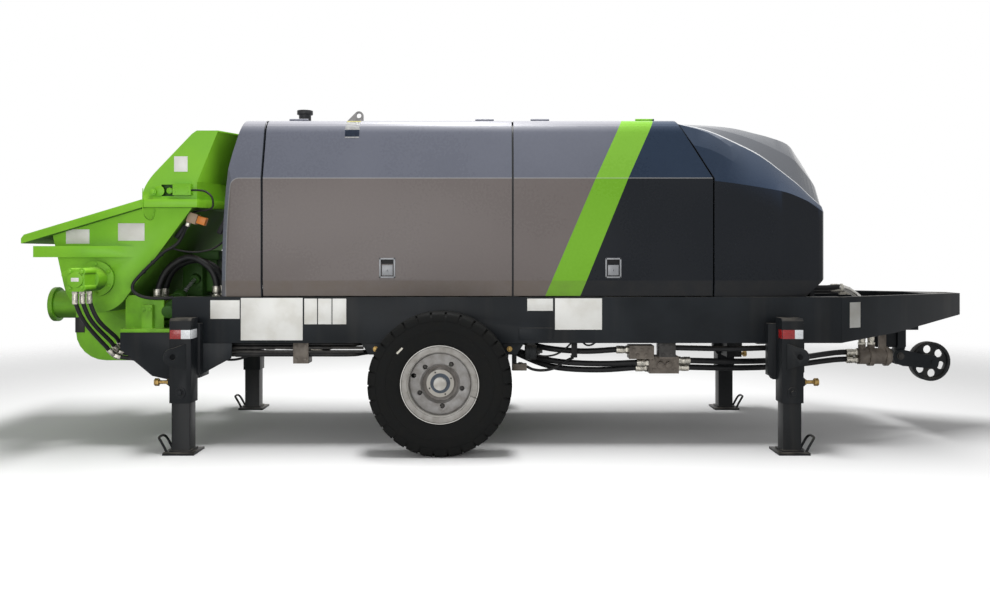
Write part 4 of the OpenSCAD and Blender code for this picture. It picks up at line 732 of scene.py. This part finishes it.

# The hopper: welded plate with a folded rim, a splash shield, a hinged grate and the valve box below,
# in bright green gloss paint, dusty on its upward faces; painted light makes those faces paler, painted shade
# darkens its downward faces, and grime with painted shade darkens it low down.
grime_and_shade_top, grime_and_shade_depth = 1.19, 0.26
hopper_green, shader, place = start("hopper_green", 0.36, specular=0.22)
height = place.axis("Z")
# Painted shade on faces that point down, which also turn rougher.
under = (0.0 - facing_up(place)).rises(0.15, 0.75)
mottle = noise(place, 3.0, 5.0).rises(0.3, 0.7)
coat = mottle.tints(tint(118, 184, 36), tint(130, 194, 46))
# Painted light: faces that point up are paler.
coat = facing_up(place).rises(0.1, 0.5).tints(coat, tint(142, 200, 58))
coat = (under * 0.8).tints(coat, tint(30, 62, 22))
# Darker low down: patchy grime together with painted shade.
patchy = 0.35 + 0.65 * noise(place, 7.0, 5.0).rises(0.35, 0.7)
low = (grime_and_shade_top - height).rises(0.0, grime_and_shade_depth) * patchy * 0.5
coat = low.tints(coat, tint(62, 96, 38))
runs = noise(place, 11.0, 4.0, (1, 1, 0.1)).rises(0.55, 0.8) * 0.1
coat = runs.tints(coat, tint(86, 96, 66))
dust = facing_up(place).rises(0.4, 0.95) * noise(place, 15.0, 4.0).rises(0.4, 0.75) * 0.16
coat = dust.tints(coat, tint(188, 188, 160))
waves = noise(place, 180.0, 1.0) + 0.5 * noise(place, 6.0, 2.0)
lay(shader, coat, 0.3 + 0.12 * mottle + 0.35 * low + 0.5 * under, waves, 0.0007, 0.12)
dress(["hopper_shell", "hopper_base", "valve_box", "outlet_pipe", "agitator_drive", "grate", "splash_shield",
       "swing_cylinders", "water_box"], hopper_green)
worn_steel = painted("worn_steel", tint(118, 120, 112), 0.45, dust=0.3)
dress(["agitator"], worn_steel)

# Blank plates on the hopper's right side: the same thin white enamel, two on the wall,
# one on the splash shield's cheek and a small one on the agitator's motor.
hopper_side = -0.64
form = bmesh.new()
for x, z in (((-2.766, -2.618), (1.275, 1.366)), ((-2.438, -2.271), (1.294, 1.404)),
             ((-2.085, -2.0), (1.729, 1.826))):
    side_plate(form, x, z, hopper_side)
slab(form, (-2.592, -0.9535, 1.045), (-2.546, -0.9515, 1.068), 0.0006)
settle(form, "hopper_plates", "frame", enamel)

# Bolts on the hopper, painted over in green: the motor's corners, both bearing flanges, the outlet's flange,
# the swing cylinders' brackets, the switch box and the hinge bosses of the grate.
agitator_x, agitator_z, motor_face, flange_face = -2.569, 1.055, -0.94, 0.664
outlet_x, outlet_z = -2.881, 0.861
form = bmesh.new()
for x in (-0.036, 0.036):
    for z in (-0.048, 0.048):
        screw(form, (agitator_x + x, motor_face, agitator_z + z), (0, -1, 0), 0.0125, 0.011)
for out in (-1, 1):
    for x, z in ring(6, 0.093, 30):
        screw(form, (agitator_x + x, out * flange_face, agitator_z + z), (0, out, 0), 0.011)
    screw(form, (-2.215, out * 0.654, 1.6), (0, out, 0), 0.016, 0.008)
    for x in (-2.27, -2.23):
        screw(form, (x, out * 0.66, 0.862), (0, out, 0), 0.011)
for y, z in ring(8, 0.127, 22.5):
    screw(form, (outlet_x, y, outlet_z + z), (-1, 0, 0), 0.011)
for x in (-2.068, -1.99):
    for z in (1.602, 1.632):
        screw(form, (x, -0.668, z), (0, -1, 0), 0.005, 0.003)
rod(form, (-2.18, -0.6425, 1.607), (-2.18, -0.638, 1.607), 0.034, 28, 0.002)
settle(form, "hopper_bolts", "frame", hopper_green, 28)

# Wiring on the hopper: black rubber cables from the switch box and from a sensor, clipped to the wall,
# and a rubber flap on the valve box.
switch_cable = ((-1.973, -0.652, 1.612), (-1.93, -0.655, 1.611), (-1.884, -0.66, 1.604),
                (-1.846, -0.66, 1.575), (-1.836, -0.652, 1.54), (-1.848, -0.632, 1.504),
                (-1.893, -0.61, 1.488), (-1.945, -0.59, 1.485), (-1.985, -0.57, 1.478))
sensor_cable = ((-2.0, -0.585, 1.425), (-2.022, -0.6, 1.39), (-2.034, -0.625, 1.335), (-2.06, -0.645, 1.28),
                (-2.1, -0.652, 1.248), (-2.14, -0.654, 1.226), (-2.19, -0.654, 1.18), (-2.24, -0.655, 1.132),
                (-2.3, -0.656, 1.07), (-2.337, -0.656, 1.022), (-2.338, -0.656, 0.982), (-2.3, -0.654, 0.95),
                (-2.24, -0.652, 0.934), (-2.17, -0.648, 0.931), (-2.09, -0.64, 0.935))
link_cable = ((-2.1, -0.645, 1.25), (-2.06, -0.63, 1.235), (-2.0, -0.61, 1.224), (-1.93, -0.59, 1.226),
              (-1.86, -0.57, 1.246), (-1.8, -0.55, 1.29), (-1.764, -0.53, 1.33))


def cable(form, points, radius, corners=10):
    """A round cable along a smooth line, closed at both ends."""
    line = smooth_path(points)
    rings = []
    side = Vector((0.31, 0.87, 0.38))
    for i, spot in enumerate(line):
        ahead = (line[min(i + 1, len(line) - 1)] - line[max(i - 1, 0)]).normalized()
        side = (side - ahead * side.dot(ahead)).normalized()
        other = ahead.cross(side)
        rings.append([form.verts.new(spot + side * a + other * b) for a, b in ring(corners, radius, 0)])
    for first, second in zip(rings, rings[1:]):
        for k in range(corners):
            form.faces.new((first[k], first[k - 1], second[k - 1], second[k]))
    form.faces.new(rings[0])
    form.faces.new(rings[-1][::-1])


hose_rubber = painted("hose_rubber", tint(17, 18, 20), 0.5, dust=0.2, streak=0.06, specular=0.25)
form = bmesh.new()
cable(form, switch_cable, 0.0062)
cable(form, sensor_cable, 0.0105)
cable(form, link_cable, 0.0065)
for clip in ((-2.16, -0.654, 1.208), (-2.215, -0.6545, 1.157), (-2.27, -0.6555, 1.1)):
    rod(form, Vector(clip) - Vector((0.004, 0, 0.004)), Vector(clip) + Vector((0.004, 0, 0.004)), 0.0135, 14)
slab(form, (-2.848, -0.336, 0.69), (-2.786, -0.328, 0.79), 0.003)
settle(form, "hopper_cables", "frame", hose_rubber, 60)

# The sensor under the splash shield: a tan moulded block with an orange cap and zinc collars, screwed to the
# sloping wall, and two black connector strips. Each bit is a block turned to the wall's slope.
sensor_tan = painted("sensor_tan", tint(150, 128, 104), 0.45, dust=0.1)
sensor_orange = painted("sensor_orange", tint(206, 118, 26), 0.4, dust=0.05)
for name, material, slot, bits in (
        ("sensor_block", sensor_tan, "valve_paint", (((-1.982, -0.585, 1.438), (0.062, 0.062, 0.066), 18),)),
        ("sensor_cap", sensor_orange, "valve_paint", (((-1.925, -0.585, 1.422), (0.055, 0.05, 0.05), 18),)),
        ("sensor_collar", zinc, "worn_steel", (((-1.951, -0.585, 1.43), (0.02, 0.04, 0.04), 18),
                                               ((-2.012, -0.6, 1.398), (0.024, 0.024, 0.026), 18))),
        ("connector_strip", latch_dark, "black_trim", (((-2.058, -0.58, 1.352), (0.1, 0.05, 0.026), -53),
                                                       ((-1.806, -0.55, 1.385), (0.1, 0.03, 0.03), -63)))):
    form = bmesh.new()
    for centre, size, turn in bits:
        block = bmesh.ops.create_cube(form, size=1.0)["verts"]
        bmesh.ops.scale(form, verts=block, vec=size)
        bmesh.ops.rotate(form, verts=block, matrix=Matrix.Rotation(math.radians(turn), 3, "Y"))
        bmesh.ops.translate(form, verts=block, vec=centre)
        round_edges(form, block, 0.004)
    settle(form, name, "frame", material)

# The swing drive between hopper and hood: a cast housing in oil-stained green darkened with painted shade,
# and on each side a cylinder with a bright rod that swings the lever inside. The switches' sheet pockets in
# the cheeks have the same dark green, painted shade in their hollows.
swing_x = -2.1
pocket_rear, pocket_front, pocket_low, pocket_high = -2.168, -2.082, 1.572, 1.651
bright_steel, shader, place = start("bright_steel", 0.25, 0.55)
wear = noise(place, 30.0, 3.0, (1, 1, 6)).rises(0.3, 0.7)
coat = wear.tints(tint(186, 188, 190), tint(222, 222, 220))
lay(shader, coat, 0.14 + 0.2 * wear, wear, 0.0002, 0.15)
# A darker copy of the hopper's green with dark oil streaks: painted shade and oil stains.
stained_and_shaded_green = painted("stained_and_shaded_green", tint(52, 92, 30), 0.55, dust=0.2, streak=0.5, specular=0.25,
                      dust_colour=tint(24, 30, 16))
form, rods = bmesh.new(), bmesh.new()
slab(form, (-2.2, -0.17, 0.87), (-2.05, 0.17, 1.185), 0.03)
slab(form, (-2.215, -0.2, 0.87), (-2.035, 0.2, 0.93), 0.01)
slab(form, (-2.14, -0.13, 1.17), (-1.955, 0.13, 1.235), 0.012)
slab(form, (-2.06, -0.1, 0.95), (-1.975, 0.1, 1.2), 0.015)
for y in (-1, 1):
    rod(form, (swing_x, y * 0.165, 1.05), (swing_x, y * 0.2, 1.036), 0.034, 24, 0.004)
    rod(rods, (swing_x, y * 0.19, 1.041), (-2.115, y * 0.43, 0.935), 0.013, 20, 0.002)
    rod(form, (-2.115, y * 0.425, 0.937), (-2.118, y * 0.475, 0.914), 0.05, 24, 0.004)
    rod(form, (-2.118, y * 0.47, 0.916), (-2.125, y * 0.64, 0.841), 0.042, 24, 0.004)
    for x in (-2.18, -2.07):
        for z in (0.97, 1.14):
            screw(form, (x, y * 0.17, z), (0, y, 0), 0.012)
    border(form, (pocket_rear, pocket_low), (pocket_front, pocket_high), 0.003, y * 0.63, y * 0.604, 0.0)
    slab(form, (pocket_rear, y * 0.606, pocket_low), (pocket_front, y * 0.602, pocket_high), 0.0)
settle(form, "swing_drive", "frame", stained_and_shaded_green)
settle(rods, "swing_rods", "frame", bright_steel)

# In the pockets, turned switch rollers on short flat levers, painted green,
# and on the right side a thin wire loop that hangs from the grate's hinge pin.
roller_x, roller_z = -2.116, 1.609
form = bmesh.new()
for y in (-1, 1):
    rod(form, (roller_x, y * 0.605, roller_z), (roller_x, y * 0.637, roller_z), 0.021, 8, 0.003)
    slab(form, (roller_x, y * 0.632, 1.6), (-2.084, y * 0.624, 1.618), 0.002)
settle(form, "switch_rollers", "frame", hopper_green)
form = bmesh.new()
cable(form, ((-2.258, -0.703, 1.62), (-2.2585, -0.706, 1.57), (-2.258, -0.706, 1.5), (-2.252, -0.69, 1.45),
             (-2.235, -0.66, 1.425), (-2.215, -0.647, 1.44), (-2.206, -0.645, 1.49)), 0.0028, 6)
settle(form, "pin_wire", "frame", hopper_green, 60)

# The hydraulics: cast valve blocks hung under the right beam in taupe primer, with darker pipes behind the
# axle, and black rubber hoses between them. Two bright steel tubes run over the drawbar's cross plate.
pipes_end_x, rear_block_x, hung_block_x, hung_block_z = -0.8, (-1.334, -1.236), (0.966, 1.076), 0.562
tube_reach, tube_z = 2.565, 0.565


def between(value, low, high):
    """One between two limits and none outside."""
    return (value - low).rises(-0.001, 0.001) * (high - value).rises(-0.001, 0.001)


block_finish, shader, place = start("block_finish", 0.45, specular=0.3)
along_x = place.axis("X")
grime = noise(place, 18.0, 5.0).rises(0.3, 0.75)
piped = (pipes_end_x - along_x).rises(0.0, 0.01) * (1.0 - between(along_x, *rear_block_x))
hung = between(along_x, *hung_block_x) * (place.axis("Z") - hung_block_z).rises(-0.001, 0.001)
coat = grime.tints(tint(112, 104, 95), tint(84, 77, 70))
coat = piped.most(hung).tints(coat, grime.tints(tint(62, 60, 58), tint(40, 39, 38)))
lay(shader, coat, 0.36 + 0.22 * grime, noise(place, 150.0, 2.0) + 0.4 * grime, 0.0008, 0.2)
dress(["valve_blocks"], block_finish)
dress(["hoses_rear"], hose_rubber, 0, 50, 1)
tube_and_hose, shader, place = start("tube_and_hose", 0.5, specular=0.25)
grime = noise(place, 26.0, 4.0).rises(0.3, 0.75)
tube = (place.axis("X") - place.axis("Y") - tube_reach).rises(-0.003, 0.003)
tube = tube * (place.axis("Z") - tube_z).rises(-0.002, 0.002)
coat = tube.tints(grime.tints(tint(15, 16, 18), tint(27, 27, 28)),
                  grime.tints(tint(196, 194, 190), tint(158, 156, 150)))
(tube * 0.85).into(shader, "Metallic")
lay(shader, coat, 0.5 - 0.22 * tube + 0.12 * grime, noise(place, 240.0, 2.0), 0.0006, 0.25)
dress(["hoses_frame"], tube_and_hose, 0, 50, 1)

# The hoses' ends: zinc-plated nuts and crimped ferrules, by radius and by the way that the hose leaves,
# and plain ferrules on the motor's three hoses where they reach the rear plate.
ahead, back, up, down = Vector((1, 0, 0)), Vector((-1, 0, 0)), Vector((0, 0, 1)), Vector((0, 0, -1))
motor_ends = [(-2.595 + 0.026 * i, -0.89 + 0.04 * i, 0.985) for i in range(3)]
plate_ends = [(-2.019, -0.64 + 0.045 * i, 0.54 + 0.03 * i) for i in range(3)]
hose_ends = ((0.02, ahead, [(1.105, -0.56, 0.53), (1.105, -0.514, 0.482), (-0.1, -0.3, 0.655),
                            (-0.1, -0.3, 0.606), (-0.1, -0.25, 0.602)]),
             (0.02, back, [(2.42, -0.13, 0.536), (2.42, -0.13, 0.488), (0.789, -0.56, 0.6),
                           (0.918, -0.57, 0.518), (0.918, -0.52, 0.48), (2.247, -0.322, 0.988),
                           (2.333, -0.229, 0.9625)]),
             (0.02, up, [(2.45, -0.13, 0.59), (2.512, -0.13, 0.59)]),
             (0.022, up, [(-2.23, -0.53, 0.908), (-2.23, -0.4, 0.908), (-1.85, -0.53, 0.928),
                          (-1.85, -0.4, 0.928)]),
             (0.014, down, motor_ends + [(-0.945, -0.44 + 0.038 * i, 0.928) for i in range(2)]),
             (0.014, back, plate_ends),
             (0.014, ahead, [(-1.237, -0.59 + 0.038 * i, 0.6) for i in range(2)]))
form = bmesh.new()
for radius, way, spots in hose_ends:
    for spot in spots:
        spot = Vector(spot)
        rod(form, spot, spot + way * 0.018, radius * 1.32, 6, 0.0015)
        rod(form, spot + way * 0.017, spot + way * 0.028, radius * 1.1, 20)
        rod(form, spot + way * 0.027, spot + way * 0.078, radius * 1.2, 24, 0.002)
        for step in (0.039, 0.052, 0.065):
            rod(form, spot + way * step, spot + way * (step + 0.005), radius * 1.26, 24, 0.001)
for i, (x, y, z) in enumerate(motor_ends):
    line = smooth_path(((x, y, z), (x, y, 0.925), (x + 0.04, y + 0.03, 0.8),
                        (x + 0.1, -0.7 + 0.03 * i, 0.64 + 0.02 * i),
                        (-2.422, -0.64 + 0.045 * i, 0.56 + 0.02 * i),
                        (-2.114, -0.64 + 0.045 * i, 0.54 + 0.03 * i)))
    rod(form, line[26], line[30], 0.0178, 24, 0.002)
    rod(form, line[30], line[32], 0.0195, 6, 0.0015)
settle(form, "hose_crimps", "frame", zinc)

# Screws and plugs on the valve blocks' faces, in the blocks' own primer: cap screws by the depth of the face,
# two turned plugs, the screws of the front valve's flanges, and the brake line's junction block.
block_screws = {-0.62: ((0.815, 0.605), (0.865, 0.605), (0.915, 0.605), (0.84, 0.57), (0.893, 0.57)),
                -0.66: ((0.995, 0.63), (1.047, 0.63), (0.995, 0.577), (1.047, 0.577)),
                -0.6: ((0.945, 0.535), (1.08, 0.535), (0.945, 0.476), (1.08, 0.476)),
                -0.65: ((-1.315, 0.63), (-1.255, 0.63), (-1.315, 0.545), (-1.255, 0.545))}
form = bmesh.new()
for y, spots in block_screws.items():
    for x, z in spots:
        screw(form, (x, y, z), (0, -1, 0), 0.0095)
for x in (0.985, 1.04):
    rod(form, (x, -0.6, 0.508), (x, -0.622, 0.508), 0.021, 24, 0.003)
    rod(form, (x, -0.62, 0.508), (x, -0.632, 0.508), 0.0125, 6, 0.001)
for y, z in ring(6, 0.058, 15):
    for x in (2.49, 2.6):
        screw(form, (x, -0.13 + y, 0.512 + z), (-1, 0, 0), 0.007)
slab(form, (0.05, -0.585, 0.468), (0.14, -0.535, 0.512), 0.004)
settle(form, "valve_screws", "frame", block_finish)

# Clips and thin lines under the frame: a folded strap that holds the long hoses, a bracket for the brake
# line, rubber lines clipped to the beam's foot, two return hoses to the water box, and zinc fittings.
form = bmesh.new()
slab(form, (0.424, -0.575, 0.55), (0.462, -0.569, 0.66), 0.0015)
slab(form, (0.424, -0.575, 0.55), (0.462, -0.49, 0.556), 0.0015)
slab(form, (0.045, -0.575, 0.468), (0.075, -0.569, 0.6), 0.0015)
settle(form, "hose_strap", "frame", latch_dark)
form = bmesh.new()
for radius, points in (
        (0.006, ((0.43, -0.6, 0.66), (0.41, -0.605, 0.635), (0.37, -0.61, 0.6), (0.32, -0.6, 0.572),
                 (0.26, -0.58, 0.56), (0.2, -0.56, 0.565))),
        (0.006, ((0.49, -0.62, 0.66), (0.5, -0.625, 0.645), (0.52, -0.628, 0.634), (0.545, -0.628, 0.636),
                 (0.566, -0.625, 0.648), (0.578, -0.62, 0.66))),
        (0.009, ((0.14, -0.56, 0.492), (0.18, -0.565, 0.474), (0.24, -0.565, 0.468), (0.31, -0.56, 0.48),
                 (0.38, -0.55, 0.52), (0.44, -0.54, 0.548))),
        (0.008, ((-1.9, -0.6, 0.63), (-1.84, -0.61, 0.6), (-1.76, -0.61, 0.575), (-1.68, -0.6, 0.58),
                 (-1.6, -0.595, 0.607), (-1.5, -0.59, 0.615), (-1.4, -0.588, 0.612), (-1.333, -0.585, 0.61))),
        (0.008, ((-1.9, -0.56, 0.6), (-1.84, -0.57, 0.56), (-1.76, -0.575, 0.537), (-1.68, -0.575, 0.545),
                 (-1.6, -0.57, 0.575), (-1.5, -0.565, 0.586), (-1.4, -0.56, 0.58), (-1.333, -0.555, 0.575)))):
    cable(form, points, radius, 8)
cable(form, ((1.07, -0.61, 0.617), (1.2, -0.61, 0.614), (1.36, -0.61, 0.611), (1.52, -0.61, 0.612),
             (1.684, -0.61, 0.617)), 0.017, 12)
for y, z, radius in ((-0.612, 0.639, 0.014), (-0.614, 0.578, 0.017)):
    cable(form, ((-1.905, y, z), (-1.6, y, z), (-1.25, y, z), (-0.98, y, z), (-0.9, y + 0.05, z + 0.004),
                 (-0.8, y + 0.16, z + 0.008), (-0.66, y + 0.24, z + 0.01), (-0.45, y + 0.29, 0.62)),
          radius, 12)
settle(form, "frame_cables", "frame", hose_rubber, 60)
form = bmesh.new()
for x, y, z in ((-1.52, -0.59, 0.614), (-1.45, -0.565, 0.582)):
    rod(form, (x, y, z), (x + 0.06, y + (0.002 if z > 0.6 else 0.003), z), 0.0125, 20, 0.002)
rod(form, (0.06, -0.56, 0.497), (0.14, -0.56, 0.492), 0.017, 20, 0.002)
rod(form, (0.085, -0.56, 0.497), (0.112, -0.56, 0.495), 0.024, 6, 0.002)
settle(form, "line_fittings", "frame", zinc)

# A blank plate on the drawbar's slanting right side: the same white enamel on thin sheet,
# riveted on just in front of the corner where the drawbar begins.
way = Vector((1.04, 0.605, 0)).normalized()
out = Vector((way.y, -way.x, 0))
plate_t, plate_width, plate_foot, plate_head = 0.0016, 0.1, 0.746, 0.906
corner = Vector((2.1, web_y, 0)) + way * (0.064 / way.x) + out * plate_t
form = bmesh.new()
form.faces.new([form.verts.new(corner + way * along + Vector((0, 0, z)))
                for along, z in ((0, plate_foot), (plate_width, plate_foot), (plate_width, plate_head),
                                 (0, plate_head))])
bmesh.ops.solidify(form, geom=form.faces[:], thickness=-plate_t)
settle(form, "drawbar_plate", "frame", enamel)

# The guide wheel: a dark cast wheel with six lightening holes, between two arm plates in the frame's paint,
# under the drawbar's tip. A steel nut on each side holds the arm's pin.
pivot_x, pivot_y, pivot_z = 2.742, 0.07, 0.505
dress(["guide_bracket", "guide_arm"], frame_paint)
dress(["guide_wheel"], spring_paint, 0.002)
form = bmesh.new()
for out in (-1, 1):
    screw(form, (pivot_x, out * pivot_y, pivot_z), (0, out, 0), 0.019, 0.012)
settle(form, "guide_pivot_nuts", "guide_arm", dark_steel)
